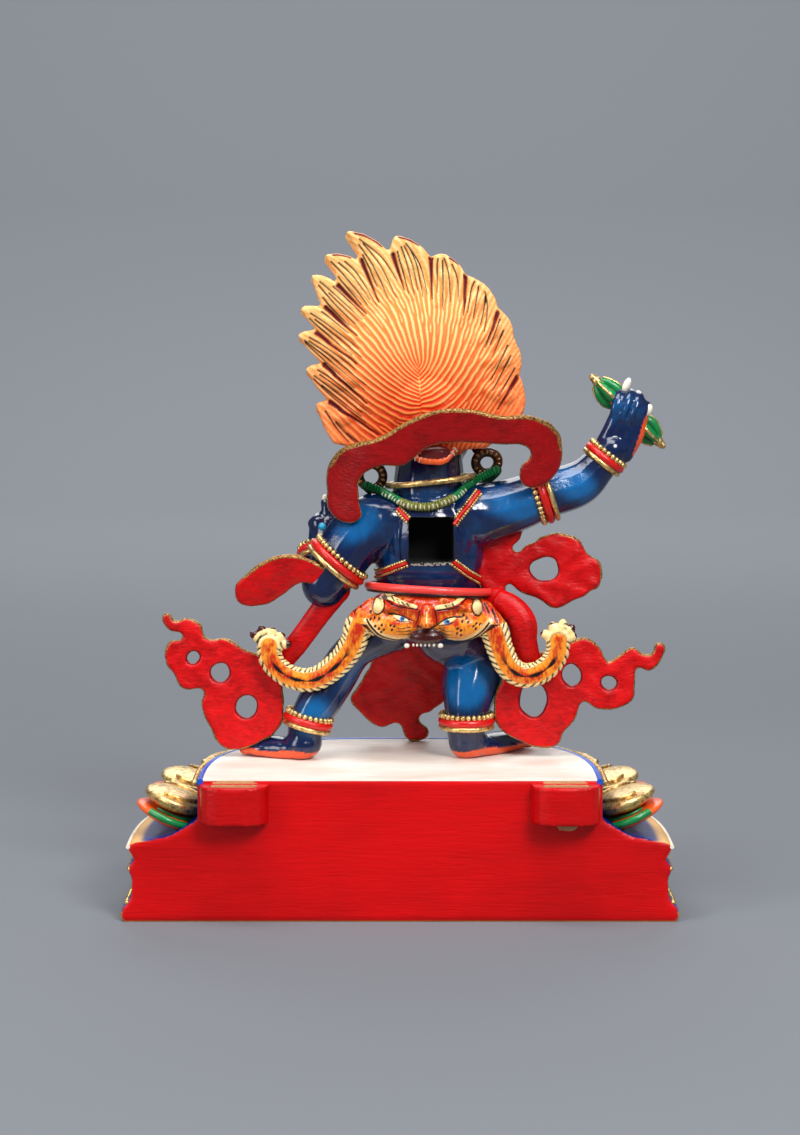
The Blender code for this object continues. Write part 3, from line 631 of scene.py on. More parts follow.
def body_forms():
    torso = [
        ball((SPINE_X, 8, 47), (20, 15, 10.5)),
        ball((SPINE_X, 1, 59), (18, 17, 14)),
        ball((SPINE_X, 6.5, 66), (18, 14, 14)),
        ball((SPINE_X, 7, 76), (21, 13, 13)),
        ball((SPINE_X, 14.5, 72), (13.5, 7.5, 13)),
        ball((SPINE_X + 13, 9, 78), (9, 10, 8)),
        ball((SPINE_X - 13, 9, 80), (9, 10, 8)),
    ]
    neck = rounded_limb(((SPINE_X, 7, 82), (SPINE_X, 5, 98)), (12.4, 10.8))
    arms = rounded_limb(RIGHT_ARM, RIGHT_ARM_RADII) + rounded_limb(LEFT_ARM, LEFT_ARM_RADII)
    arms += rounded_limb(LEFT_FOREARM, LEFT_FOREARM_RADII)
    legs = rounded_limb(LEFT_LEG, LEFT_LEG_RADII) + rounded_limb(RIGHT_THIGH, RIGHT_THIGH_RADII)
    legs += rounded_limb(RIGHT_SHIN, RIGHT_SHIN_RADII)
    return torso + neck + arms + legs


print("stations: right arm", len(RIGHT_ARM), "and left leg", len(LEFT_LEG))

# %% Feet
RIGHT_FOOT = ((-20.8, 12.0), (-41.5, -9.0))
LEFT_FOOT = ((29.0, 14.5), (51.0, 3.0))
FOOT_WIDTH = 10.5
FOOT_HEIGHT = 8.0


def foot_forms(heel, toe):
    """A stocky foot, flat below, with a row of toes."""
    heel, toe = Vector((*heel, 0)), Vector((*toe, 0))
    along = (toe - heel).normalized()
    across = Vector((-along.y, along.x, 0))
    length = (toe - heel).length
    turn = (0, 0, math.degrees(math.atan2(along.y, along.x)))
    up = Vector((0, 0, 1))
    parts = [
        ball(heel + along * 4 + up * FOOT_HEIGHT * 0.5, (6.0, FOOT_WIDTH * 0.48, FOOT_HEIGHT * 0.62), turn),
        ball(heel + along * length * 0.5 + up * 2.5, (length * 0.5, FOOT_WIDTH * 0.52, 4.0), turn),
        ball(heel + along * length * 0.7 + up * 2.3, (length * 0.3, FOOT_WIDTH * 0.6, 3.0), turn),
    ]
    for i in range(5):
        side = (i - 2) * FOOT_WIDTH * 0.21
        place = heel + along * (length - 1.6 - 0.5 * abs(i - 2)) + across * side + up * 1.9
        parts.append(ball(place, (2.7, 1.25, 1.8), turn, 12))
    return parts


print("feet run from heel to toe:", RIGHT_FOOT, LEFT_FOOT)

# %% Hands
PALM = ((-69.8, 4.5, 100.5), (-73.2, 4.5, 107.0), (-75.0, 4.0, 113.0))
PALM_HALF_WIDTH = 3.1
KNUCKLE_RIDGES = (
    ((-68.9, 5.5, 110.5), (-70.0, 6.2, 114.5), (-71.6, 2.5, 118.2)),
    ((-71.9, 7.0, 110.2), (-73.2, 7.6, 114.2), (-75.0, 3.5, 118.3)),
    ((-74.6, 7.0, 109.2), (-76.0, 7.4, 113.2), (-77.7, 3.5, 117.2)),
    ((-77.2, 5.8, 108.8), (-78.4, 6.2, 111.8), (-79.9, 3.0, 114.6)),
)
CURLED_TIPS = ((-71.2, -4.0, 113.5), (-74.0, -4.5, 112.5), (-76.8, -4.2, 111.0), (-79.0, -3.0, 109.5))
LEFT_WRIST = ((25.5, -12, 68), (25.2, -13.5, 74))
LEFT_TIPS = ((22.5, -15, 80.0), (25.0, -15, 81.0), (27.5, -17, 75), (28.0, -17, 72))


def right_hand_forms():
    """A square palm, and four fingers that curl over the vajra."""
    parts = []
    for side in (-1, 0, 1):
        path = [Vector(place) + Vector((side * PALM_HALF_WIDTH, 0, side * 1.6)) for place in PALM]
        parts += rounded_limb(path, (3.2, 3.4, 2.8), flat=0.85)
    for ridge, tip in zip(KNUCKLE_RIDGES, CURLED_TIPS):
        parts.append(limb((*ridge, tip), (1.2, 1.6, 1.75, 1.3)))
        parts.append(ball(tip, (1.4, 1.4, 1.4), segments=12))
    return parts


def left_hand_forms():
    wrist, knuckles = (Vector(place) for place in LEFT_WRIST)
    parts = rounded_limb((wrist + Vector((1, 0, 0)), knuckles + Vector((1.8, 0, 0))), (4.2, 3.2))
    parts += rounded_limb((wrist - Vector((1, 0, 0)), knuckles - Vector((1.8, 0, 0))), (4.2, 3.2))
    for i, tip in enumerate(LEFT_TIPS):
        root = knuckles + Vector((3.6 - 2.4 * i, 0, 0)) * -1
        tip = Vector(tip)
        parts += rounded_limb((root, (root + tip) / 2 + Vector((0, 0, 1.5)), tip), (1.9, 1.8, 1.4))
    return parts


print(len(KNUCKLE_RIDGES), "fingers close on the vajra")

# %% Head
def face_forms():
    """The wrathful face, to the general pattern of such figures: swollen brow, cheeks and jaw."""
    x, y, z = HEAD
    parts = [
        ball(HEAD, (14.5, 14, 16)),
        ball((x, y - 4, z - 8), (12.0, 10.5, 8.5)),
        ball((x, y - 13.8, z - 3.5), (3.6, 3.4, 3.0)),
        ball((x, y - 12.4, z + 0.5), (2.0, 3.0, 4.5)),
        ball((x, y - 11.0, z - 14.0), (5.0, 3.5, 2.6)),
    ]
    for side in (-1, 1):
        parts += [
            ball((x + side * 7.2, y - 9.5, z - 5.0), (4.2, 3.8, 3.6)),
            ball((x + side * 3.0, y - 13.2, z - 4.3), (2.0, 2.0, 1.7)),
            ball((x + side * 5.3, y - 10.2, z + 1.5), (3.9, 3.2, 3.3)),
            ball((x + side * 14.6, y + 1.5, z), (1.8, 3.2, 5.0)),
            ball((x + side * 15.6, y + 2.5, z - 6.0), (1.9, 1.7, 3.0)),
        ]
    return parts


print("the middle of the head is at", HEAD)

# %% [markdown]
# The cavity is a Boolean cut after the remesh, so that its edges stay crisp. The paint is brighter
# blue where each limb swells; those soft spots are partly airbrushed blue and partly painted highlight.

# %% The skin as one piece
BODY_GRAIN = 0.61
CAVITY = (-10.0, 22.0, 72.2)
CAVITY_SIZE = (14.5, 15.0, 15.0)
AIRBRUSH_AND_HIGHLIGHT_SPOTS = (
    ((-38, 83), (11, 5.5), 15, 0.9), ((-56, 90), (9, 5), 30, 1.0), ((14, 78), (8, 6), -40, 0.8),
    ((-21.5, 25), (9.5, 8.5), 0, 0.85), ((28, 14), (6, 6), 0, 0.9), ((14, 28), (9, 4), -40, 0.5),
    ((-10, 86), (12, 3), 0, 0.35), ((-10, 60.5), (14, 3.5), 0, 0.4), ((3, 70), (4, 8), 0, 0.3),
    ((-24, 72), (4, 8), 0, 0.3), ((-75, 104), (4, 5), 0, 0.15), ((-70, 114), (9, 5), 0, 0.45),
)
CREASES = (
    ((0.4, 78.5), (0.7, 72.0), (0.3, 66.0)), ((-19.0, 77.0), (-20.4, 71.0), (-18.6, 66.0)),
    ((1.0, 87.0), (-4.0, 85.6), (-12.0, 86.0), (-20.0, 88.6)),
    ((-70.0, 110.2), (-71.6, 114.2), (-73.0, 118.0)), ((-73.0, 109.4), (-74.6, 113.6), (-76.2, 117.4)),
    ((-75.6, 109.4), (-77.2, 113.0), (-78.6, 116.0)), ((-69.0, 111.0), (-71.6, 109.4), (-76.0, 108.6)),
)
PALM_EDGE = ((-80.6, 111.0), (-79.2, 106.5), (-76.6, 98.5))


def cut_cavity(obj):
    deselect()
    bpy.ops.mesh.primitive_cube_add(size=MM)
    cutter = bpy.context.object
    width, height, depth = CAVITY_SIZE
    cutter.location = at(CAVITY[0], CAVITY[1] - depth / 2 + 10, CAVITY[2])
    cutter.scale = (width, depth + 20, height)
    apply_place(cutter)
    apply_modifier(cutter, "BEVEL", width=1.0 * MM, segments=3)
    apply_modifier(obj, "BOOLEAN", operation="DIFFERENCE", object=cutter)
    bpy.data.objects.remove(cutter)


print("cavity", CAVITY_SIZE, "mm")

# %% The body's layers
def paint_body(obj):
    points, facing = places(obj), normals(obj)
    x, y, z = points.T
    flat = points[:, (0, 2)]
    # painted shade: the inside of the cavity is painted black
    inside = (np.abs(x - CAVITY[0]) < 7.4) & (np.abs(z - CAVITY[2]) < 7.7) & (y > 0) & (y < 20.6)
    # painted highlight, partly airbrushed blue: soft spots that fade as the surface turns from the back;
    # front faces are painted lighter by a fixed share
    lit = sum(spot(flat, middle, radii, angle, 3.4) * power for middle, radii, angle, power in AIRBRUSH_AND_HIGHLIGHT_SPOTS)
    front = np.clip(-facing[:, 1], 0, 1)
    layer(obj, "lit", lit * np.clip(facing[:, 1] * 1.2, 0, 1) + 0.45 * front)
    layer(obj, "inside", inside)
    chips = stroke(flat, ((-3.5, 64.3), (-16.5, 64.5)), 0.9, 0, 0.4) * (y > 15)
    layer(obj, "chips", chips)
    sole = (z < 2.6 + 0.5 * np.sin(x * 0.4)) & (np.hypot(x, y) < 80)
    palm = (stroke(flat, PALM_EDGE, 2.2) > 0.5) & (facing[:, 0] < -0.35)
    layer(obj, "sole", sole | palm)


def model_body():
    forms = body_forms() + foot_forms(*RIGHT_FOOT) + foot_forms(*LEFT_FOOT) + face_forms()
    obj = melt("body", forms + right_hand_forms() + left_hand_forms(), BODY_GRAIN, 3)
    points = places(obj)
    points[:, 2] = np.maximum(points[:, 2], 0.0)
    put(obj, points)
    groove = most(stroke(points[:, (0, 2)], path, 1.0, 0.3, 0.5) for path in CREASES)
    carve(obj, -0.55 * groove * smooth(0.2, 0.6, normals(obj)[:, 1]) * (points[:, 1] > 8))
    cut_cavity(obj)
    paint_body(obj)
    return shade_smooth(obj, 50)


body = model_body()
dress(body, SKIN)
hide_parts("figure")
skin_tree = surface(body)

# %% Nails
NAILS = (
    ((-73.6, 3.0, 121.0), (1.25, 1.0, 2.7), -24), ((-80.4, 5.0, 113.0), (1.5, 1.3, 2.2), -30),
    ((-77.6, 1.2, 118.0), (1.3, 1.0, 1.2), -40), ((22.5, -15.2, 81.2), (1.0, 1.0, 1.5), 0),
    ((25.0, -15.2, 82.2), (1.0, 1.0, 1.5), 0),
)
nails = join("nails", [ball(middle, radii, (0, angle, 0), 14) for middle, radii, angle in NAILS])
dress(tinted(shade_smooth(nails), CREAM), ENAMEL)

# %% [markdown]
# ## The flame of hair
# Wrathful deities have hair like fire, combed up from a parting at the back of the head. The strands
# leave the parting sideways and sweep up to the locks. That is how water runs from a row of springs
# into a stream, so the strands are the stream's lines: each spring adds its angle, the stream adds
# the distance across it, and the cosine of the sum is the ridge.

# %% The outline of the locks
HAIR_MIDDLE = (-5.5, 12.5, 127.0)
HAIR_THICKNESS = 6.0
HAIR_TIPS = (
    (27.1, 115.5), (30.4, 126.9), (32.9, 137.8), (32.0, 146.3), (28.3, 156.9), (24.3, 163.3),
    (17.6, 171.0), (1.6, 169.6), (-13.0, 163.9), (-25.5, 155.0), (-33.6, 144.5), (-37.6, 134.5),
    (-40.0, 120.0),
)
HAIR_NOTCHES = (
    (22.6, 116.3), (24.4, 128.3), (26.0, 138.9), (24.6, 146.3), (20.1, 154.0), (13.0, 161.2),
    (3.4, 163.9), (-9.9, 162.5), (-21.1, 157.0), (-31.4, 146.4), (-36.4, 137.2), (-38.3, 125.1),
)
HAIR_FOOT = ((-38.0, 110.0), (-28.0, 101.5), (-10.0, 100.0), (10.0, 100.5), (21.5, 103.0))
HOOKED_LOCKS = (5, 6)
LOCK_CREST = 0.13
LOCK_BELLY = 0.05
LOCK_HOOK = -0.10


def bowed_edge(start, end, bulge, shares):
    """Points of a lock's edge between start and end, bowed outward by a share of its length."""
    start, end = Vector(start), Vector(end)
    leg = end - start
    outward = Vector((leg.y, -leg.x)) * bulge
    return [tuple(start + leg * s + outward * math.sin(math.pi * s)) for s in shares]


def hair_outline():
    """Notch, belly, tip and crest of each lock in turn, then the foot of the hair."""
    outline = []
    notches = (HAIR_FOOT[-1], *HAIR_NOTCHES, HAIR_FOOT[0])
    for i, tip in enumerate(HAIR_TIPS):
        belly = LOCK_HOOK if i in HOOKED_LOCKS else LOCK_BELLY
        outline += [notches[i], *bowed_edge(notches[i], tip, belly, (0.4, 0.8))]
        outline += [tip, *bowed_edge(tip, notches[i + 1], LOCK_CREST, (0.12, 0.35, 0.7))]
    return outline + list(HAIR_FOOT[:-1])


print("the hair's outline has", len(hair_outline()), "points")

# %% [markdown]
# The flat flame is cut to that outline, and each lock gets a low ridge. A dome is then swelled out of
# the middle, back and front, by moving points, so that no edge shows where it starts.

# %% The flame and its dome
HAIR_GRAIN = 0.60
DOME_HEIGHT = 7.5
DOME_REACH = (34.0, 33.0)


def hair_forms():
    middle = Vector((HAIR_MIDDLE[0], HAIR_MIDDLE[2]))
    parts = [
        plate(hair_outline(), HAIR_MIDDLE[1], HAIR_THICKNESS, 0.9, sharp=True),
        ball((SPINE_X, 6, 112), (17, 14, 17)),
    ]
    before = [HAIR_FOOT[-1], *HAIR_NOTCHES]
    for tip, start, end in zip(HAIR_TIPS, before, (*HAIR_NOTCHES, HAIR_FOOT[0])):
        tip, waist = Vector(tip), (Vector(start) + Vector(end)) / 2
        root = middle.lerp(waist, 0.62)
        path = [(p.x, HAIR_MIDDLE[1], p.y) for p in (root, waist.lerp(root, 0.25), tip.lerp(waist, 0.1))]
        parts.append(limb(path, (3.6, 4.3, 1.6), flat=1.0))
    return parts


def swell(obj):
    points, facing = places(obj), normals(obj)
    x, _, z = points.T
    reach = np.hypot((x - HAIR_MIDDLE[0]) / DOME_REACH[0], (z - HAIR_MIDDLE[2]) / DOME_REACH[1])
    dome = DOME_HEIGHT * (1 - smooth(0.1, 1.0, reach))
    points[:, 1] += dome * np.clip(1.5 * facing[:, 1], -1, 1)
    put(obj, points)


def refine_back(obj, limit, keep=None):
    """Quarters the faces that look back, where the finest carving is; keep(middles) can spare some."""
    choose(obj)
    mesh = obj.data
    facing = np.empty(len(mesh.polygons) * 3, np.float32)
    mesh.polygons.foreach_get("normal", facing)
    back = facing.reshape(-1, 3)[:, 1] > limit
    if keep:
        middles = np.empty(len(mesh.polygons) * 3, np.float32)
        mesh.polygons.foreach_get("center", middles)
        back &= keep(middles.reshape(-1, 3) / MM - np.array([0, 0, sole_height]))
    bpy.ops.object.mode_set(mode="EDIT")
    bpy.ops.mesh.select_mode(type="FACE")
    bpy.ops.mesh.select_all(action="DESELECT")
    bpy.ops.object.mode_set(mode="OBJECT")
    mesh.polygons.foreach_set("select", back)
    bpy.ops.object.mode_set(mode="EDIT")
    bpy.ops.mesh.subdivide(number_cuts=1)
    bpy.ops.mesh.select_all(action="DESELECT")
    bpy.ops.object.mode_set(mode="OBJECT")


hair = melt("hair", hair_forms(), HAIR_GRAIN, 4)
swell(hair)
refine_back(hair, 0.3, lambda middles: middles[:, 2] > 100)
print("the hair has", len(hair.data.polygons), "faces")

# %% [markdown]
# Crimson strokes fill the gaps between the locks, and thin dark lines run down each lock. Their ends
# are uneven, as a brush leaves them, so each line's reach comes from a seeded random number.

# %% Gaps, dark lines and strands
GAPS = (
    ((22.6, 116.3), (6.9, 105.8)), ((24.4, 128.3), (10.6, 116.0)), ((26.8, 138.6), (14.0, 128.8)),
    ((23.8, 146.6), (13.7, 137.8)), ((19.8, 153.7), (10.8, 144.7)), ((12.4, 161.7), (6.8, 148.4)),
    ((2.3, 163.5), (-1.4, 152.2)), ((-9.9, 162.5), (-10.2, 149.5)), ((-21.1, 156.9), (-20.3, 144.2)),
    ((-31.4, 145.0), (-27.5, 134.1)), ((-37.7, 124.3), (-31.3, 113.9)),
)
EDGE_STROKES = ((5, 0.25, 0.75), (6, 0.2, 0.8), (7, 0.1, 0.6), (8, 0.3, 0.6))
PARTING = ((-5.9, 128.6), (-6.2, 120.1), (-6.7, 113.0))
SPRINGS = 14
STRANDS_A_SPRING = 2
STREAM = 0.36
STREAM_LEAN = math.radians(14)
STREAM_SPREAD = 0.006


def strand_phase(x, z):
    """The angle whose cosine is the strand ridge at a place on the hair."""
    a, b = x - PARTING[1][0], z - PARTING[1][1]
    phase = math.tau * STREAM * (a * math.cos(STREAM_LEAN) - b * math.sin(STREAM_LEAN))
    phase = phase - math.tau * STREAM_SPREAD * a * b
    top, bottom = PARTING[0], PARTING[-1]
    for i in range(SPRINGS):
        t = i / (SPRINGS - 1)
        sx = top[0] + (bottom[0] - top[0]) * t
        sz = top[1] + (bottom[1] - top[1]) * t
        phase = phase - STRANDS_A_SPRING * np.arctan2(z - sz, x - sx)
    slow = 0.5 * np.sin(x * 0.31 + 0.7 * np.sin(z * 0.23)) + 0.4 * np.sin(z * 0.27 + x * 0.13)
    quick = np.sin(x * 0.8 + 1.9 * np.sin(z * 0.33)) * np.sin(z * 0.52 + 1.5 * np.sin(x * 0.41))
    return phase + slow + 0.45 * quick


def strands(x, z):
    """The strands from -1 to 1; where they spread too far apart, each one splits in two."""
    phase = strand_phase(x, z)
    step = 0.1
    rises = [strand_phase(x + step, z) - phase, strand_phase(x, z + step) - phase]
    rate = np.hypot(*(np.angle(np.exp(1j * rise)) for rise in rises)) / step / math.tau
    coarse = 1 - smooth(0.38, 0.48, rate)
    return (1 - coarse) * np.cos(phase) + coarse * np.cos(2 * phase)


print(len(GAPS), "gaps and", SPRINGS, "springs")

# %% Ink and edge strokes
def ink_strokes():
    """Thin dark lines down each lock, between one gap and the next."""
    dice = np.random.default_rng(7)
    strokes = []
    for k, ((a_out, a_in), (b_out, b_in)) in enumerate(zip(GAPS, GAPS[1:])):
        tip = np.array(HAIR_TIPS[k + 1 if k < 9 else 11])
        count = 4 if k % 3 else 5
        reach = 0.0 if k == 9 else 1.0
        for i in range(count):
            t = (i + 0.7) / (count + 0.4) + dice.uniform(-0.04, 0.04)
            rim = np.array(a_out) * (1 - t) + np.array(b_out) * t
            end = np.array(a_in) * (1 - t) + np.array(b_in) * t
            start = rim + (tip - rim) * dice.uniform(0.1, 0.7) * reach
            end = end + (rim - end) * dice.uniform(-0.15, 0.35)
            bow = (start + end) / 2 * 0.6 + rim * 0.4
            strokes.append(sampled([start, bow, end], 5))
    for i in range(4):
        foot = np.array([16.5 - 3.4 * i, 103.5 - 1.2 * i])
        strokes.append(sampled([foot + (7.5, 10.0 - 2.4 * i), foot + (4.0, 4.6 - i), foot], 5))
    return strokes


def edge_strokes():
    """Crimson along the upper edge of the top locks: which lock, and from and to which share."""
    notches = (*HAIR_NOTCHES, HAIR_FOOT[0])
    found = []
    for lock, start, end in EDGE_STROKES:
        shares = np.linspace(start, end, 6)
        found.append(bowed_edge(HAIR_TIPS[lock], notches[lock], LOCK_CREST - 0.03, shares))
    return found


print(len(ink_strokes()), "ink strokes")

# %% Carving the hair
def carve_hair(obj):
    points, facing = places(obj), normals(obj)
    x, _, z = points.T
    flat = points[:, (0, 2)]
    gap = most(stroke(flat, [outer, inner], 1.5, 0.8, 0.25) for outer, inner in GAPS)
    ink = most(stroke(flat, path, 0.56, 0.5, 0.14) for path in ink_strokes())
    on_dome = 1 - smooth(0.62, 0.95, np.hypot((x + 5.5) / 33, (z - 125) / 36))
    ridge = 0.55 + 0.5 * (strands(x, z) - 0.24) * (0.25 + 0.75 * on_dome)
    radial = np.hypot((x + 6) / 36, (z - 125) / 42)
    pale = np.clip(0.50 * (z - 108) / 45 + 0.62 * radial**1.5 - 0.12, 0, 1)
    pale *= 1 - 0.45 * smooth(20, 40, -x) * (1 - smooth(125, 150, z))
    back = smooth(0.2, 0.6, facing[:, 1])
    carve(obj, (0.42 * (ridge - 0.5) * (1 - 0.6 * pale) - 1.0 * gap - 0.25 * ink) * back)
    layer(obj, "ridge", ridge * back + 0.5 * (1 - back))
    layer(obj, "pale", pale)
    layer(obj, "warmth", smooth(106, 138, z))
    edges = most(stroke(flat, path, 1.0, 0.5) for path in edge_strokes())
    layer(obj, "gap", np.maximum(gap, edges) * smooth(-0.1, 0.4, facing[:, 1]))
    layer(obj, "ink", ink * back)
    return obj


carve_hair(hair)

# %% Hair paint
def hair_paint():
    paint = Paint("hair_flame")
    pale = paint.layer("pale")
    speck = paint.noise(1.3, 3.0)
    ridge = (paint.layer("ridge") + (speck - 0.5) * 0.45).step(0.28, 0.85)
    hot = paint.mix(paint.layer("warmth"), colour(226, 24, 0), colour(246, 74, 8))
    groove = paint.mix(pale, hot, colour(250, 160, 74))
    crest = paint.mix(paint.layer("warmth"), colour(255, 122, 36), colour(255, 176, 98))
    crest = paint.mix(pale, crest, colour(255, 222, 156))
    base = paint.mix(ridge, groove, crest)
    base = paint.mix(paint.noise(0.25, 3.0).step(0.5, 0.75) * 0.2, base, colour(255, 170, 100))
    base = paint.mix(paint.layer("gap"), base, colour(104, 6, 26))
    base = paint.mix(paint.layer("ink"), base, colour(24, 8, 12))
    return paint.finish(base, 0.45 + speck * 0.15, bump=speck, bump_height=0.08, specular=0.25)


dress(hair, hair_paint())

# %% [markdown]
# ## The scarf
# One long red scarf arches behind the head, loops at the arms and ends in cloud-shaped tails beside
# the legs. It is cast as flat plates with gold-brown edges.

# %% Outlines of the scarf, as seen from behind
SCARF_THICKNESS = 3.4
CLOTH_GRAIN = 0.55
ARCH = (
    (22.0, 80.0), (23.6, 88.0), (22.9, 96.3), (17.7, 102.4), (6.7, 105.9), (-2.0, 111.1),
    (-11.9, 115.0), (-22.3, 115.2), (-31.6, 113.1), (-42.5, 112.5), (-50.2, 107.8), (-52.3, 101.8),
    (-50.0, 93.0), (-40.0, 90.0), (-38.5, 96.0), (-41.8, 100.2), (-39.8, 102.9), (-32.7, 103.6),
    (-19.6, 104.3), (-9.2, 102.9), (-1.5, 97.1), (6.7, 96.3), (12.7, 92.5), (13.2, 86.0), (13.0, 79.0),
)
CURL = (
    (-40.0, 76.0), (-40.0, 72.7), (-37.0, 67.5), (-41.7, 69.4), (-49.8, 73.0), (-57.9, 71.1),
    (-61.0, 67.0), (-65.0, 63.5), (-65.6, 56.9), (-60.7, 52.8), (-57.5, 50.9), (-51.0, 48.6),
    (-44.5, 51.5), (-37.7, 54.5), (-35.2, 56.0), (-34.2, 52.0), (-31.0, 49.0), (-26.0, 56.0),
    (-25.0, 66.0), (-27.0, 76.0),
)
CURL_HOLES = (oval(-47.1, 61.3, 4.4, 3.9),)
RIGHT_TAIL = (
    (-33.1, 25.0), (-30.7, 18.7), (-31.8, 10.4), (-38.0, 5.5), (-44.0, 3.3), (-51.0, 3.4),
    (-53.5, 7.5), (-57.8, 13.2), (-59.9, 18.1), (-64.5, 15.6), (-71.0, 16.0), (-76.2, 19.2),
    (-76.6, 25.0), (-77.5, 29.0), (-81.8, 28.6), (-85.8, 32.9), (-86.1, 36.7), (-83.6, 37.2),
    (-82.0, 34.0), (-79.0, 33.9), (-75.7, 36.2), (-71.2, 33.4), (-67.6, 31.5), (-65.2, 35.9),
    (-60.0, 39.2), (-53.0, 36.7), (-44.0, 34.0), (-36.0, 34.0),
)
RIGHT_TAIL_HOLES = (oval(-43.5, 18.8, 4.4, 5.6), oval(-56.0, 26.9, 2.9, 3.6), oval(-68.1, 24.4, 2.4, 2.4))
LEFT_TAIL = (
    (38.5, 24.0), (37.9, 15.5), (40.1, 8.7), (46.8, 4.3), (53.5, 2.0), (59.1, 4.0), (62.6, 10.8),
    (64.9, 16.5), (64.3, 21.8), (70.3, 22.3), (73.9, 27.0), (76.9, 32.7), (74.9, 37.8),
    (71.0, 39.6), (75.5, 42.1), (77.5, 45.8), (75.3, 47.2), (73.1, 44.6), (69.1, 45.8), (64.8, 43.5),
    (63.2, 39.2), (57.2, 39.1), (50.2, 35.4), (45.0, 33.0), (39.0, 30.0),
)
LEFT_TAIL_HOLES = (oval(67.4, 32.7, 2.0, 2.2), oval(58.5, 27.8, 3.0, 3.1), oval(50.2, 16.5, 3.4, 3.8))
LEFT_LOOP = (
    (14.0, 59.5), (22.5, 62.5), (30.4, 66.7), (38.3, 67.4), (45.2, 64.5), (50.2, 60.7), (53.7, 55.0),
    (51.2, 50.8), (42.3, 51.0), (35.4, 56.0), (30.4, 58.0), (23.5, 55.5), (18.0, 56.0),
)
FRONT_CLOTH = (
    (5.0, 38.0), (10.0, 26.0), (14.4, 18.2), (16.5, 14.1), (13.0, 9.0), (7.0, 4.7), (0.1, 5.4),
    (-2.3, 0.6), (-8.2, 0.4), (-9.5, 3.4), (-6.5, 7.4), (-10.6, 10.0), (-15.1, 13.8), (-16.9, 24.0),
    (-18.0, 38.0),
)
LEFT_RIBBON = ((20.0, 12, 55.0), (26.2, 12, 47.4), (30.0, 11, 42.1), (33.7, 10, 37.1), (38.5, 9, 31.5))
RIGHT_RIBBON = (
    (-31.5, 11, 52.0), (-37.0, 13, 48.5), (-39.8, 14, 44.1), (-40.3, 13, 38.7), (-42.0, 11, 32.0),
)


# %% Cloth as cast plates
def arch_lean(x, height):
    across = (x + 14.5) / 38.0
    return -13.0 * across**4 + 0.30 * (height - 104.0) * (1 - np.minimum(1.0, across**2))


def model_cloth(name, outline, depth, holes=(), lean=None, relief=0.25, rim=0.5, edge=None):
    """A cast plate of cloth: cut out, closed into one skin, leaned and given a hand-made surface."""
    cloth = melt(name, [plate(outline, depth, SCARF_THICKNESS, 1.2, holes)], CLOTH_GRAIN, 3)
    points, facing = places(cloth), normals(cloth)
    flat = points[:, (0, 2)]
    away, _, _ = to_path(flat, sampled([*outline, outline[0]], 6))
    line, _, _ = to_path(flat, sampled(edge or [*outline, outline[0]], 6))
    side = 1 - smooth(0.45, 0.8, np.abs(facing[:, 1]))
    layer(cloth, "rim", np.maximum(side * (away < 1.6), 1 - smooth(rim - 0.2, rim + 0.2, line)))
    layer(cloth, "shade", side * (away > 1.6))
    if lean is not None:
        points[:, 1] += lean(points[:, 0], points[:, 2])
        put(cloth, points)
    x, _, z = points.T
    wave = np.sin(x * 0.55 + 1.3 * np.sin(z * 0.4)) * np.sin(z * 0.6 + np.sin(x * 0.35))
    carve(cloth, relief * wave)
    # the arch takes the red with painted shade
    return dress(cloth, SCARF_SHADED if name == "scarf_arch" else SCARF)


def loop_lean(_, height):
    return 0.3 * (height - 58.0)


def front_lean(_, height):
    return 0.12 * np.maximum(0.0, height - 20.0)


model_cloth("scarf_arch", ARCH, 26.5, (), arch_lean, 0.12, 1.2, ARCH[2:12])
model_cloth("scarf_curl", CURL, 6.0, CURL_HOLES, relief=0.4, rim=0.4)
model_cloth("right_scarf_tail", RIGHT_TAIL, 10.0, RIGHT_TAIL_HOLES)
model_cloth("left_scarf_tail", LEFT_TAIL, 10.0, LEFT_TAIL_HOLES)
model_cloth("left_scarf_loop", LEFT_LOOP, 16.0, (), loop_lean, 0.25, 1.0, LEFT_LOOP[0:6])
model_cloth("front_cloth", FRONT_CLOTH, -19.5, (), front_lean)


# %% Ribbons
def model_ribbon(name, path, radii, flat):
    ribbon = melt(name, rounded_limb(path, radii, flat), 0.5, 2)
    layer(ribbon, "rim", np.zeros(len(ribbon.data.vertices)))
    return dress(ribbon, SCARF)


model_ribbon("left_scarf_ribbon", LEFT_RIBBON, (4.0, 3.9, 3.8, 3.8, 3.8), 0.5)
model_ribbon("right_scarf_ribbon", RIGHT_RIBBON, (4.0, 4.6, 4.8, 4.4, 4.0), 0.7)

# %% [markdown]
# ## The tiger skin
# It is worn about the hips, with the mask behind and the two legs hanging to the sides. The face is
# modelled in low relief only; its eyes, brows, whiskers and spots are brush strokes, so the back of
# the mesh is divided more finely before they are painted.

# %% Mask, legs and paws
LEFT_LEG_SKIN = (
    (8.5, 16, 49.0), (13.0, 19, 45.0), (15.1, 19, 38.8), (18.6, 18, 33.3), (23.5, 17, 28.8),
    (28.5, 16, 26.3), (34.4, 16, 26.8), (39.4, 16, 29.8), (42.2, 16, 34.0), (42.4, 16, 37.5),
)
RIGHT_LEG_SKIN = (
    (-26.5, 16, 48.5), (-30.3, 19, 43.0), (-32.6, 19, 36.0), (-35.4, 18, 30.6), (-39.7, 17, 27.9),
    (-44.5, 17, 28.5), (-48.9, 17, 31.7), (-51.0, 17, 35.6), (-51.2, 17, 39.4),
)
LEG_SKIN_RADII = (4.2, 4.6, 4.3, 4.1, 4.0, 3.9, 3.8, 3.8, 3.9, 4.0)
LEFT_TOES = ((36.2, 37.9), (38.3, 40.6), (41.4, 42.5), (44.8, 42.9), (47.6, 41.1))
RIGHT_TOES = ((-56.0, 40.6), (-55.6, 43.4), (-52.7, 45.0), (-49.4, 44.0), (-46.6, 41.4))
MASK_X = -8.7
TIGER_GRAIN = 0.68


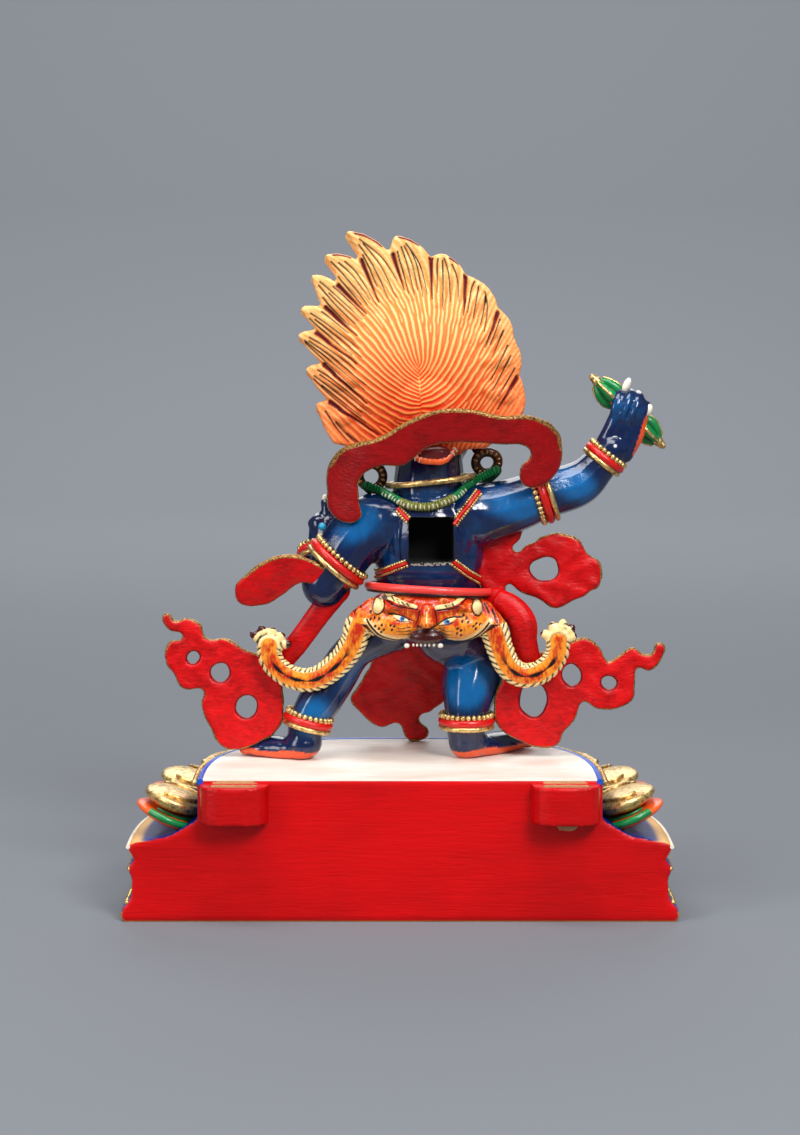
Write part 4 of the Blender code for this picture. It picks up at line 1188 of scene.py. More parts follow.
def leg_skin_forms(path, toes):
    tip = Vector(path[-1])
    parts = rounded_limb(path, LEG_SKIN_RADII[: len(path)], flat=0.62)
    for x, z in toes:
        end = Vector((x, tip.y, z))
        parts.append(limb((tip.lerp(end, 0.2), tip.lerp(end, 0.6), end), (1.5, 1.6, 1.3)))
        parts.append(ball(end, (1.3, 1.4, 1.3), segments=10))
    return parts


def mask_forms():
    parts = [
        ball((SPINE_X, 9.5, 47.5), (21.0, 15.8, 9.5)),
        ball((MASK_X, 19.0, 50.5), (16.5, 6.5, 5.0)),
        ball((MASK_X, 25.0, 48.5), (2.4, 2.4, 4.0)),
        ball((MASK_X, 26.2, 46.0), (2.9, 2.2, 1.7)),
        ball((MASK_X, 22.6, 41.6), (6.0, 3.6, 2.9)),
        ball((SPINE_X, -2, 44.5), (20, 14, 9)),
    ]
    for side in (-1, 1):
        parts += [
            ball((MASK_X + side * 10.6, 19.4, 45.0), (9.4, 6.6, 5.2)),
            ball((MASK_X + side * 9.0, 24.2, 52.0), (5.4, 1.7, 1.3), (0, 22 * side, 0)),
            ball((MASK_X + side * 15.8, 22.2, 50.8), (1.7, 1.6, 2.4), (0, 12 * side, 0), 14),
        ]
    return parts


print("the tiger skin has", len(LEFT_TOES + RIGHT_TOES), "claws")

# %% [markdown]
# The strokes are given by the places they run through, as (x, height) seen from behind.

# %% Where the face is painted
EARS = (((6.9, 51.2), (1.55, 2.35), 18), ((-24.9, 50.6), (1.5, 2.2), -14))
BROWS = (((4.4, 54.0), (0.0, 52.9), (-5.0, 51.3)), ((-11.9, 51.0), (-16.2, 52.0), (-20.8, 53.9)))
# brow lines: painted black, and also where painted shade reddens the orange beside them
BROW_LINES_AND_SHADE = (
    ((5.4, 53.8), (3.0, 52.4), (-0.5, 51.2), (-5.6, 50.4)), ((-12.0, 50.2), (-17.6, 50.9), (-21.4, 53.6)),
)
BROW_HAIRS = (
    ((2.6, 53.9), (1.8, 52.9)), ((1.0, 53.4), (0.2, 52.4)), ((-0.6, 52.9), (-1.4, 51.9)),
    ((-2.2, 52.4), (-3.0, 51.4)), ((-14.6, 51.8), (-15.0, 51.0)), ((-16.8, 52.4), (-17.3, 51.4)),
)
LIDS = (
    ((3.6, 48.9), (1.8, 48.9), (-0.6, 48.3), (-3.9, 46.7)),
    ((-20.0, 48.1), (-16.6, 47.9), (-14.0, 46.9), (-11.6, 45.1)),
)
EYE_WHITES = (((-0.3, 47.5), (2.9, 0.75), 24), ((-15.2, 46.7), (3.0, 0.8), -22))
IRISES = (((-0.7, 47.35), (0.95, 0.72), 0), ((-15.1, 46.4), (1.0, 0.78), 0))
PUPILS = (((-0.8, 47.3), (0.42, 0.42), 0), ((-15.3, 46.35), (0.45, 0.45), 0))
UNDER_EYES = (((1.2, 47.0), (-0.8, 46.5), (-2.9, 46.5)), ((-17.4, 46.3), (-15.2, 45.5), (-12.8, 45.2)))
NOSE_SIDES = (((-6.2, 50.0), (-5.7, 47.4), (-5.0, 45.6)), ((-11.3, 50.0), (-11.7, 47.6), (-11.9, 45.9)))
NOSTRILS = (((-6.3, 44.9), (0.8, 0.42), 12), ((-10.7, 44.9), (0.85, 0.5), -12))
WHISKERS = (
    ((-3.2, 44.6), (-0.6, 44.2), (1.0, 44.7)), ((-3.4, 43.4), (-1.0, 43.2), (1.2, 43.4)),
    ((-3.6, 42.2), (-1.2, 42.3), (0.8, 42.4)), ((-12.6, 44.3), (-14.6, 43.3), (-17.0, 43.5)),
    ((-12.9, 43.1), (-14.8, 42.1), (-17.2, 42.1)), ((-13.4, 41.9), (-15.0, 41.1), (-17.6, 41.1)),
)
FRECKLES = (
    (9.4, 49.0), (8.3, 47.6), (9.6, 46.9), (6.9, 47.4), (8.0, 44.9), (6.8, 44.2), (5.9, 45.4),
    (5.2, 43.9), (6.0, 43.1), (3.0, 45.4), (1.8, 45.0),
    (2.6, 43.9), (-20.4, 48.6), (-21.4, 47.7), (-20.0, 46.6), (-21.9, 46.3),
    (-23.6, 45.0), (-24.6, 45.8), (-25.8, 45.5), (-24.4, 44.1), (-18.4, 44.3), (-19.6, 43.7),
    (-18.3, 42.7), (-19.6, 42.0),
)
JAW = (
    (10.6, 46.6), (9.4, 44.9), (6.4, 42.0), (1.6, 40.4), (-2.6, 40.4), (-12.8, 40.1), (-18.6, 39.5),
    (-23.1, 40.8), (-26.4, 43.2), (-28.6, 45.4),
)
MUZZLE = ((-8.8, 41.4), (6.2, 3.2), 0)
TEMPLE_STRIPES = (
    ((11.6, 53.6), (12.8, 50.4)), ((13.8, 51.6), (14.8, 48.6)), ((-27.6, 51.4), (-28.6, 48.6)),
    ((-30.0, 49.5), (-31.4, 45.5)),
)
print(len(FRECKLES), "freckles and", len(WHISKERS), "whisker lines")

# %% Brush strokes on the skin
def brushed(flat, paths, width, taper=0.4):
    return most(stroke(flat, sampled(path, 5), width, taper, 0.09) for path in paths)


def spotted(flat, ellipses):
    return most(spot(flat, *ellipse, 0.09) for ellipse in ellipses)


def paint_legs(points, black, cream, dark, heat):
    """Fringed legs: a stripe along the middle, slanting dashes along both borders, cream toes."""
    flat = points[:, (0, 2)]
    for path, toes in ((LEFT_LEG_SKIN, LEFT_TOES), (RIGHT_LEG_SKIN, RIGHT_TOES)):
        line = np.array(sampled(path, 6))[:, (0, 2)]
        distance, arc, _ = to_path(flat, line)
        on_leg = (arc > 6) & (distance < 5.6) & (points[:, 1] > 5)
        slant = (arc + distance * 0.9) * 3.3 + 0.6 * np.sin(arc)
        dash = smooth(0.25, 0.7, np.sin(slant)) * smooth(2.3, 2.9, distance)
        edge = smooth(2.0, 3.1, distance)
        stripe = (1 - smooth(0.35, 0.55, distance - 0.25 * np.sin(arc * 0.9))) * smooth(14, 18, arc)
        stripe *= 1 - smooth(arc.max() - 7, arc.max() - 3, arc)
        black = np.where(on_leg, np.maximum(dash, stripe), black)
        dark = np.where(on_leg, 0, dark)
        cream = np.where(on_leg, edge, cream)
        core = 1 - smooth(0.3, 2.6, distance)
        heat = np.where(on_leg, 0.30 + 0.35 * core - 0.12 * np.cos(arc * 0.35), heat)
        claws = most(spot(flat, toe, (1.9, 1.9), 0, 0.5) for toe in toes)
        cream = np.maximum(cream, claws * (points[:, 1] > 5))
        black = black * (1 - claws)
    return black, cream, dark, heat


print("claws painted:", len(LEFT_TOES + RIGHT_TOES))

# %% The mask's layers
def paint_mask(points):
    """Black, cream, dark and blue layers, and how red the orange is; both carry some painted shade."""
    flat = points[:, (0, 2)]
    x, y, z = points.T
    back = smooth(12, 15, y)
    jaw, _, near = to_path(flat, sampled(JAW, 5))
    below = flat[:, 1] < near[:, 1]
    # painted shade: the orange is painted redder in soft bands along the brows, nose sides, under the eyes
    # and the temple stripes
    lines = (*BROW_LINES_AND_SHADE, *NOSE_SIDES, *UNDER_EYES, *TEMPLE_STRIPES)
    hollow_shade = most(stroke(flat, path, 2.4, 0.2, 1.0) for path in lines)
    bridge = spot(flat, (MASK_X, 49.5), (4.5, 6.5), 0, 1.5)
    heat = 0.25 + 0.055 * np.clip(z - 44, 0, 14) + 0.15 * bridge + 0.4 * hollow_shade
    cream = (1 - smooth(0.4, 2.6, jaw)) * 0.8 * back * (z < 47)
    pale = most([spotted(flat, EARS), brushed(flat, BROWS, 1.5, 0.3), spotted(flat, EYE_WHITES)])
    cream = np.maximum(cream, pale * back)
    cream = np.maximum(cream, stroke(flat, [(-8.6, 49.6), (-8.5, 46.4)], 0.5, 0, 0.2) * back)
    dark = spot(flat, *MUZZLE, 0.5) * (z < 44.6) * back
    dark = np.maximum(dark, brushed(flat, NOSE_SIDES, 0.5) * back)
    rims = [spot(flat, m, (r[0] + 0.5, r[1] + 0.5), turn) - spot(flat, m, r, turn) for m, r, turn in EARS]
    dark = np.maximum(dark, most(rims) * back)
    dark = np.maximum(dark, (jaw < 0.35) * back * (z < 48))
    black = most([
        brushed(flat, BROW_LINES_AND_SHADE, 0.62), brushed(flat, BROW_HAIRS, 0.42), brushed(flat, LIDS, 0.55, 0.3),
        brushed(flat, UNDER_EYES, 0.28), spotted(flat, NOSTRILS), brushed(flat, WHISKERS, 0.42, 0.8),
        most(spot(flat, place, (0.36, 0.52), 25, 0.09) for place in FRECKLES), spotted(flat, PUPILS),
        brushed(flat, TEMPLE_STRIPES, 0.7),
    ]) * back
    blue = spotted(flat, IRISES) * back
    # painted shade: dark paint below the jaw line, where the mask overhangs
    belly = smooth(0.2, 1.2, jaw) * below * (z < 45) * back
    dark = np.maximum(dark, belly)
    return black, cream, dark, blue, heat


def paint_tiger(obj):
    points = places(obj)
    black, cream, dark, blue, heat = paint_mask(points)
    black, cream, dark, heat = paint_legs(points, black, cream, dark, heat)
    layers = {"black": black, "cream": cream, "dark": dark, "blue": blue, "warmth": heat}
    for name, values in layers.items():
        layer(obj, name, values)
    carve(obj, 0.25 * cream * (1 - black) - 0.22 * black - 0.15 * dark)
    return obj


def tiger_paint():
    paint = Paint("tiger_skin")
    hairs = paint.noise(1.3, 3.0, (1, 1, 0.35))
    soft = paint.noise(0.35, 3.0)
    # warmth: the skin's redder and paler orange, with painted shade in the hollows of the mask
    heat = (paint.layer("warmth") + (hairs - 0.5) * 1.6 + (soft - 0.5) * 1.2).step(0.1, 0.95)
    base = paint.mix(heat, colour(250, 152, 42), colour(192, 42, 6))
    pale = (paint.layer("cream") + (hairs - 0.5) * 0.3).step(0.25, 0.85)
    base = paint.mix(pale, base, colour(250, 218, 150))
    # dark: the muzzle, nose sides, ear rims and jaw line, and the painted shade below the jaw
    base = paint.mix(paint.layer("dark"), base, colour(66, 16, 12))
    base = paint.mix(paint.layer("blue"), base, colour(60, 128, 190))
    base = paint.mix(paint.layer("black"), base, colour(16, 8, 8))
    return paint.finish(base, 0.2 + hairs * 0.12, coat=0.25, bump=hairs, bump_height=0.1, specular=0.4)


tiger = melt("tiger_skin", mask_forms() + leg_skin_forms(LEFT_LEG_SKIN, LEFT_TOES)
             + leg_skin_forms(RIGHT_LEG_SKIN, RIGHT_TOES), TIGER_GRAIN, 2)
refine_back(tiger, 0.2)
refine_back(tiger, 0.2, lambda middles: (np.abs(middles[:, 0] - MASK_X) < 22) & (middles[:, 2] > 37))
paint_tiger(tiger)
dress(tiger, tiger_paint())

# %% Teeth
TEETH = (
    (-2.2, 38.6, 0.95, 0.8), (-13.0, 38.6, 0.95, 0.8), (-4.3, 38.8, 0.4, 0.55), (-5.5, 38.8, 0.4, 0.55),
    (-6.7, 38.8, 0.4, 0.55), (-8.1, 38.8, 0.4, 0.55), (-9.4, 38.8, 0.4, 0.55), (-10.9, 38.8, 0.5, 0.55),
)
teeth = [ball((x, 24.2, z), (wide, 0.8, high), (0, 0, 0), 10) for x, z, wide, high in TEETH]
teeth = join("tiger_teeth", teeth)
dress(tinted(shade_smooth(teeth), CREAM), ENAMEL)

# %% [markdown]
# ## Jewellery
# Armlets, bracelets and anklets are a red band between a plain gold ring and a row of gold beads. The
# beads are one bead copied along the ring.

# %% Bands
BANDS = {
    "right_armlet": ((-46.5, 7, 85.8), (8.6, 8.8), (0, -72, 0), -2.3),
    "right_bracelet": ((-66.6, 5, 97.6), (6.2, 6.2), (0, -38, 0), 1.8),
    "left_armlet": ((20.2, 11, 64.2), (9.6, 9.2), (0, -41, 0), 2.2),
    "left_bracelet": ((27.2, -6.5, 64.6), (5.6, 5.6), (35, 0, 0), 1.8),
    "left_anklet": ((30.0, 11, 12.0), (7.0, 7.0), (0, -15, 0), 1.9),
    "right_anklet": ((-21.8, 9.5, 11.8), (8.0, 8.0), (0, 0, 0), 1.9),
}


def model_band(name, middle, radii, turn, beads):
    """A red band, with gold beads on the side that the lift gives and a plain ring on the other."""
    wide = [radius + 0.3 for radius in radii]
    loop = loop_points(middle, wide, turn, 40, beads)
    forms = [
        tinted(ring(middle, radii, 1.35, turn), RED),
        tinted(ring(middle, wide, 0.9, turn, -beads), GOLD),
        bead_row(loop + loop[:1], 1.8, (0.9, 1.0, 1.0), GOLD),
    ]
    return dress(shade_smooth(join(name, forms), 50), ENAMEL)


for name, (middle, radii, turn, beads) in BANDS.items():
    model_band(name, middle, radii, turn, beads)

# %% [markdown]
# A collar lies over the snake, four short straps run from the neck and the belt to the corners of the
# cavity, and the belt is a plain coral band. The snake's scales are flat beads set close together.

# %% Collar, belt, snake and straps
COLLAR = ((SPINE_X - 0.6, 6.5, 90.2), (14.2, 12.8), (3, 6.4, 0))
BELT = ((SPINE_X, 7.0, 55.0), (19.9, 17.0), (5, -3.2, 0))
SNAKE_BACK = (
    (8.9, 88.0), (7.6, 87.0), (4.8, 85.6), (-1.6, 83.5), (-8.7, 82.9), (-14.4, 84.5), (-20.8, 87.4),
    (-25.6, 90.9), (-29.4, 94.0),
)
SNAKE_FRONT = (
    (-31.0, 10, 94), (-30.0, 2, 91), (-20.0, -8.5, 82), (-9.5, -11.0, 76), (1.0, -8.5, 80), (9.0, 2, 86),
    (11.0, 9, 89),
)
STRAPS = (
    ((0.8, 82.2), (-1.0, 80.3), (-3.0, 78.4)), ((-25.6, 87.4), (-21.5, 82.6), (-17.3, 77.3)),
    ((-2.3, 64.8), (3.2, 62.3), (9.2, 58.8)), ((-17.1, 65.1), (-23.2, 60.0), (-29.6, 54.6)),
)


def strap_forms(path):
    line = np.array(sampled(path, 6))
    leg = line[-1] - line[0]
    across = np.array([-leg[1], leg[0]]) / np.hypot(*leg)
    middle = laid_on(skin_tree, line, 0.1)
    forms = [tinted(limb(middle, [0.6] * len(middle), sides=2, steps=2), RED)]
    for side in (-0.95, 0.95):
        forms.append(bead_row(laid_on(skin_tree, line + across * side, 0.15), 1.0, (0.5, 0.5, 0.5), GOLD))
    return forms


def snake_forms():
    back = laid_on(skin_tree, sampled(SNAKE_BACK, 6), 1.0)
    front = sampled([back[-1], *SNAKE_FRONT, back[0]], 6)
    third = len(back) // 4
    return [
        bead_row(back[: third + 1], 0.95, (0.62, 1.45, 1.45), GREEN),
        bead_row(back[third: -third], 0.95, (0.62, 1.5, 1.5), OLIVE),
        bead_row(back[2: -3], 1.3, (0.42, 1.72, 1.0), CREAM),
        bead_row(back[-third - 1:], 0.95, (0.62, 1.45, 1.45), GREEN),
        bead_row(front, 0.95, (0.65, 1.4, 1.4), GREEN),
    ]


collar = join("collar", [tinted(ring(COLLAR[0], COLLAR[1], 1.0, COLLAR[2]), GOLD)])
dress(shade_smooth(collar, 60), ENAMEL)
belt_forms = [
    tinted(ring(BELT[0], BELT[1], 1.35, BELT[2]), CORAL),
    tinted(ring(BELT[0], BELT[1], 0.6, BELT[2], -1.4), BLACK),
]
dress(shade_smooth(join("belt", belt_forms), 60), ENAMEL)
dress(shade_smooth(join("snake_necklace", snake_forms()), 60), ENAMEL)
harness = join("harness", [form for path in STRAPS for form in strap_forms(path)])
dress(shade_smooth(harness, 60), ENAMEL)

# %% Earrings and the knot below the arch
KNOT = (-11.5, 21.0, 100.5)
KNOT_RIM = (
    (-4.6, 20.5, 99.2), (-6.8, 21.5, 98.2), (-10.2, 22.0, 97.9), (-13.7, 22.0, 98.0),
    (-16.6, 21.0, 100.2), (-18.0, 20.0, 102.0),
)
trinkets = [
    tinted(ball(KNOT, (5.0, 2.4, 2.6)), WINE),
    tinted(limb(KNOT_RIM, (0.7, 1.0, 1.1, 1.1, 0.9, 0.6)), ORANGE),
    bead_row(KNOT_RIM, 1.6, (0.35, 1.15, 1.15), CREAM),
    tinted(ring((-28.3, 4.0, 96.0), (3.7, 3.4), 1.6, (82, 0, 10)), BROWN),
    bead_row(loop_points((-28.3, 4.9, 96.0), (3.9, 3.6), (82, 0, 10), 24), 1.6, (0.6, 0.9, 0.9), GOLD),
    tinted(ring((9.4, 4.0, 91.5), (3.9, 3.9), 1.5, (82, 0, -10)), BROWN),
    bead_row(loop_points((9.4, 4.9, 91.5), (4.1, 4.1), (82, 0, -10), 24), 1.6, (0.6, 0.9, 0.9), GOLD),
    tinted(ball((25.2, 14.0, 76.0), (1.3, 1.3, 1.3), segments=12), TURQUOISE),
]
dress(shade_smooth(join("earrings_and_knot", trinkets), 60), ENAMEL)

# %% [markdown]
# The vajra is a pair of four-pronged heads on one shaft. Each green prong has a gold ridge along it,
# and a coral ball joins the prongs at each side of the fist.

# %% Vajra
VAJRA_ENDS = ((-62.6, 1.0, 123.6), (-85.8, 1.0, 101.1))
PRONG = ((-0.1, 1.4), (0.2, 2.7), (0.5, 2.3), (0.78, 0.9))


def vajra_forms():
    start, end = (Vector(place) for place in VAJRA_ENDS)
    axis = (end - start).normalized()
    sides = (axis.cross(Vector((0, 1, 0))).normalized(), Vector((0, 1, 0)))
    forms = [tinted(limb((start, end), (1.3, 1.3)), GOLD)]
    for tip, root in ((start, start.lerp(end, 0.34)), (end, end.lerp(start, 0.34))):
        forms.append(tinted(ball(root, (2.7, 2.7, 2.7), segments=14), CORAL))
        forms.append(tinted(ball(root.lerp(tip, 0.3), (2.4, 2.4, 2.4), segments=14), CORAL))
        forms.append(tinted(limb((root.lerp(tip, 0.62), root.lerp(tip, 0.85), tip), (1.7, 1.6, 0.9)), GOLD))
        forms.append(tinted(ball(tip, (1.0, 1.0, 1.0), segments=12), GOLD))
        for side in (*sides, -sides[0], -sides[1]):
            path = [root.lerp(tip, along) + side * out for along, out in PRONG]
            forms.append(tinted(limb(path, (1.3, 1.9, 1.6, 0.8)), GREEN))
            forms.append(tinted(limb([place + side * 1.45 for place in path], (0.4, 0.6, 0.5, 0.3)), GOLD))
    return forms


vajra = join("vajra", vajra_forms())
dress(shade_smooth(vajra, 60), ENAMEL)

# %% [markdown]
# ## Crown and face
# The front cannot be seen from behind, so it follows the usual pattern of the deity and no more:
# three staring eyes, flaming brows, an open mouth with fangs, and a crown of five small skulls.

# %% Crown
def crown_forms():
    x, y, z = HEAD
    level = z + 12.5
    forms = [tinted(ring((x, y + 0.5, level), (13.6, 13.4), 1.7, (-8, 0, 0)), GOLD)]
    for i in range(5):
        angle = math.radians((i - 2) * 34)
        out = Vector((math.sin(angle), -math.cos(angle), 0))
        place = Vector((x, y + 0.5, level + 2.6 - 1.4 * out.y)) + out * 14.2
        turn = (0, 0, math.degrees(angle))
        across = Vector((math.cos(angle), math.sin(angle), 0))
        forms += [
            tinted(ball(place, (3.1, 2.6, 3.0), turn, 16), CREAM),
            tinted(ball(place + Vector((0, 0, -2.4)) + out * 0.5, (2.0, 2.0, 1.8), turn, 12), CREAM),
            tinted(ball(place + Vector((0, 0, 4.6)), (1.5, 1.3, 3.0), turn, 12), RED),
        ]
        for side in (-1, 1):
            socket = place + across * side * 1.2 + out * 2.2
            forms.append(tinted(ball(socket, (0.8, 0.7, 0.9), turn, 10), BLACK))
    return forms


crown = join("crown", crown_forms())
dress(shade_smooth(crown, 60), ENAMEL)

# %% Eyes, brows and mouth
def face_details():
    x, y, z = HEAD
    forms = [
        tinted(ball((x, y - 12.2, z + 8.0), (1.5, 1.3, 2.4), segments=14), CREAM),
        tinted(ball((x, y - 13.3, z + 8.0), (0.7, 0.5, 0.9), segments=12), BLACK),
        tinted(ball((x, y - 12.2, z - 10.0), (5.2, 2.2, 2.6)), WINE),
        tinted(ball((x, y - 13.4, z - 11.2), (2.4, 1.6, 1.0), segments=14), RED),
    ]
    for side in (-1, 1):
        eye = Vector((x + side * 5.4, y - 12.7, z + 1.2))
        brow = [(1.8, -13.6, 4.4), (5.2, -13.2, 6.2), (9.6, -10.8, 8.4)]
        brow = [(x + side * across, y + back, z + up) for across, back, up in brow]
        beard = [(5.6, -10.5, -9.0), (7.0, -10.0, -13.0), (4.5, -9.5, -16.5)]
        beard = [(x + side * across, y + back, z + up) for across, back, up in beard]
        forms += [
            tinted(ball(eye, (3.0, 1.5, 1.9), segments=18), CREAM),
            tinted(ball(eye + Vector((0, -1.2, 0)), (1.0, 0.6, 1.0), segments=12), BLACK),
            tinted(limb(brow, (0.8, 1.3, 0.6)), ORANGE),
            tinted(limb(beard, (0.9, 1.2, 0.5)), ORANGE),
            tinted(ball((x + side * 3.4, y - 14.0, z - 9.0), (0.6, 0.6, 1.5), segments=10), CREAM),
        ]
        for i in range(3):
            tooth = (x + side * (0.6 + 0.9 * i), y - 14.3, z - 8.2)
            forms.append(tinted(ball(tooth, (0.45, 0.5, 0.6), segments=8), CREAM))
    return forms


dress(shade_smooth(join("face_details", face_details()), 60), ENAMEL)

# %% [markdown]
# ## The throne
# Half of a round lotus seat: its plan is a rounded rectangle with a flat wall behind. The mouldings
# are rings of that plan at different outsets, bridged level by level. The red wall was painted with a
# broad brush and shows long streaks, so its paint stretches noise sideways.

# %% Plan and profile
THRONE_WIDTH = 177.0
PLATFORM_WIDTH = 128.0
THRONE_DEPTH = 100.0
PLAN_POWER = 3.0
FLARE = (THRONE_WIDTH - PLATFORM_WIDTH) / 2
PLATFORM_DEPTH = THRONE_DEPTH - FLARE
THRONE_PROFILE = (
    (0.97, 0.0), (1.0, 0.035), (0.98, 0.10), (0.89, 0.14), (0.86, 0.21), (0.85, 0.30),
    (0.89, 0.35), (0.89, 0.39), (0.82, 0.44), (0.89, 0.50), (0.88, 0.555), (0.60, 0.58),
    (0.34, 0.61), (0.0, 0.72), (0.0, 1.0),
)
CHIP = (-52.6, -14.8)
THRONE_GRAIN = 0.95


def plan_point(outset, angle):
    across, ahead = math.cos(angle), abs(math.sin(angle))
    x = (PLATFORM_WIDTH / 2 + outset) * math.copysign(abs(across) ** (2 / PLAN_POWER), across)
    return x, WALL_Y - (PLATFORM_DEPTH + outset) * ahead ** (2 / PLAN_POWER)


def plan_path(outset, height, count=120):
    """The plan at that outset as a path of points, the height taken from the floor."""
    return [(*plan_point(outset, math.pi * i / count), height - sole_height) for i in range(count + 1)]


print("flare", FLARE, "mm, depth", PLATFORM_DEPTH, "mm")

# %% The throne's rings
def throne_core():
    """Rings of the plan, bridged level by level and closed by the wall."""
    mesh = bpy.data.meshes.new("throne")
    core = bpy.data.objects.new("throne", mesh)
    bpy.context.scene.collection.objects.link(core)
    count = 90
    points, faces = [], []
    for flare, height in THRONE_PROFILE:
        for i in range(count + 1):
            x, y = plan_point(flare * FLARE, math.pi * i / count)
            points.append((x * MM, y * MM, height * PLATFORM * MM))
    row = count + 1
    levels = range(len(THRONE_PROFILE))
    for level in levels[:-1]:
        for i in range(count):
            a = level * row + i
            faces.append((a, a + row, a + row + 1, a + 1))
    last = levels[-1] * row
    faces.append(tuple(range(row)))
    faces.append(tuple(last + i for i in reversed(range(row))))
    faces.append(tuple([k * row for k in reversed(levels)] + [k * row + count for k in levels]))
    mesh.from_pydata(points, [], faces)
    choose(core)
    bpy.ops.object.mode_set(mode="EDIT")
    bpy.ops.mesh.select_all(action="SELECT")
    bpy.ops.mesh.normals_make_consistent(inside=False)
    bpy.ops.object.mode_set(mode="OBJECT")
    return core


print(len(THRONE_PROFILE), "levels of moulding")

# %% Throne paint
def throne_paint():
    paint = Paint("throne_paint")
    streaks = paint.noise(1.1, 5.0, (0.10, 1, 1.2), 0.6)
    broad = paint.noise(0.22, 3.0, (0.10, 1, 1.0), 0.4)
    patches = paint.noise(0.03, 3.0, (0.7, 1, 1))
    fine = paint.noise(1.5, 3.0)
    tone = streaks * 0.22 + broad * 0.25 + patches * 0.8
    red = paint.mix(tone.step(0.35, 0.85), colour(172, 3, 8), colour(212, 8, 14))
    stain = paint.noise(0.10, 4.0, (0.4, 1, 1)).step(0.35, 0.75)
    cream = paint.mix(stain, colour(238, 228, 216), colour(222, 206, 190))
    front = paint.mix(paint.z.step(3.0, 3.4), colour(196, 140, 60), colour(22, 70, 150))
    front = paint.mix(paint.z.step(8.3, 8.7), front, colour(12, 110, 74))
    front = paint.mix(paint.z.step(14.6, 15.0), front, colour(24, 66, 140))
    front = paint.mix(paint.z.step(20.3, 20.8), front, colour(214, 164, 92))
    front = paint.mix(paint.z.step(25.8, 26.2), front, colour(20, 40, 110))
    on_wall = paint.y.step(WALL_Y - 0.7, WALL_Y - 0.2)
    base = paint.mix(on_wall, front, red)
    base = paint.mix(paint.z.step(PLATFORM - 0.5, PLATFORM - 0.2), base, cream)
    chipped = (paint.layer("chip") + (fine - 0.5) * 1.2).step(0.45, 0.6)
    base = paint.mix(chipped, base, paint.mix(fine, colour(150, 96, 60), colour(214, 170, 120)))
    bump = streaks * 0.7 + broad * 0.7 + fine * 0.15
    return paint.finish(base, 0.30 + streaks * 0.12, 0.0, 0.0, bump, 0.2, specular=0.25)


THRONE_PAINT = throne_paint()


def model_throne():
    throne = throne_core()
    apply_modifier(throne, "REMESH", mode="VOXEL", voxel_size=THRONE_GRAIN * MM)
    points = places(throne)
    flat = points[:, (0, 2)]
    worn = [spot(flat, (x, -1.6), (7.4, 1.5), 0, 0.4) for x in (-52.2, 52.2)]
    chip = most([spot(flat, CHIP, (3.4, 2.0), 8, 0.5), *worn]) * (points[:, 1] > WALL_Y - 2)
    layer(throne, "chip", chip * (points[:, 2] < -0.5))
    dress(shade_smooth(throne, 40), THRONE_PAINT)
    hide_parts("lotus_throne")
    return throne


throne = model_throne()

# %% [markdown]
# Two straps on the wall hold the flame halo, which is away. Each is a plan outline with a slot,
# extruded upward and closed below; the paint inside the slots has worn down to the ground.

# %% Sockets for the halo
SOCKET_X = 52.2
SOCKET_HEIGHT = 12.0
SOCKET_PLAN = (
    (-10.9, 47.0), (-10.75, 52.5), (-10.1, 55.3), (-8.4, 57.3), (-5.6, 58.4), (-2.8, 58.9), (0.0, 59.0),
    (2.8, 58.9), (5.6, 58.4), (8.4, 57.3), (10.1, 55.3), (10.75, 52.5), (10.9, 47.0),
)
SLOT_PLAN = ((-7.2, 51.2), (-7.2, 56.0), (7.2, 56.0), (7.2, 51.2))


def slab(outline, holes, low, high):
    """A plan outline, with holes, extruded from one height to another; all in millimetres."""
    obj = new_curve("slab", "2D")
    obj.data.fill_mode = "BOTH"
    obj.data.extrude = (high - low) / 2 * MM
    for loop in (outline, *holes):
        outline_spline(obj.data, loop, sharp=True)
    obj = to_mesh(obj)
    obj.location = (0, 0, (high + low) / 2 * MM)
    return apply_place(obj)


def model_socket(name, x):
    plan = [(x + across, y) for across, y in SOCKET_PLAN]
    slot = [(x + across, y) for across, y in SLOT_PLAN]
    low, high = PLATFORM - 1.2 - SOCKET_HEIGHT, PLATFORM - 1.2
    socket = melt(name, [slab(plan, [slot], low + 2.5, high), slab(plan, [], low, low + 3.0)], 0.5, 2)
    points, facing = places(socket), normals(socket)
    within = (np.abs(points[:, 0] - x) < 7.7) & (points[:, 1] > 50.7) & (points[:, 1] < 56.5)
    layer(socket, "chip", within * (facing[:, 2] < 0.6) * 0.75)
    return dress(socket, THRONE_PAINT)


model_socket("halo_socket_left", SOCKET_X)
model_socket("halo_socket_right", -SOCKET_X)

# %% [markdown]
# The gold petals of the upper row and the orange ones with green curled edges of the lower row are
# modelled once and copied round the front, each turned to face outward.

# %% Petals
def path_length(path):
    return float(np.linalg.norm(np.diff(np.array(path), axis=0), axis=1).sum())


def stations(outset, count):
    """Places spaced evenly round the front, the direction along the edge, and their pitch."""
    path = [(*plan_point(outset, math.pi * i / 400), 0.0) for i in range(401)]
    pitch = path_length(path) / count
    spots, directions = spaced(path, pitch)
    return spots, directions, pitch


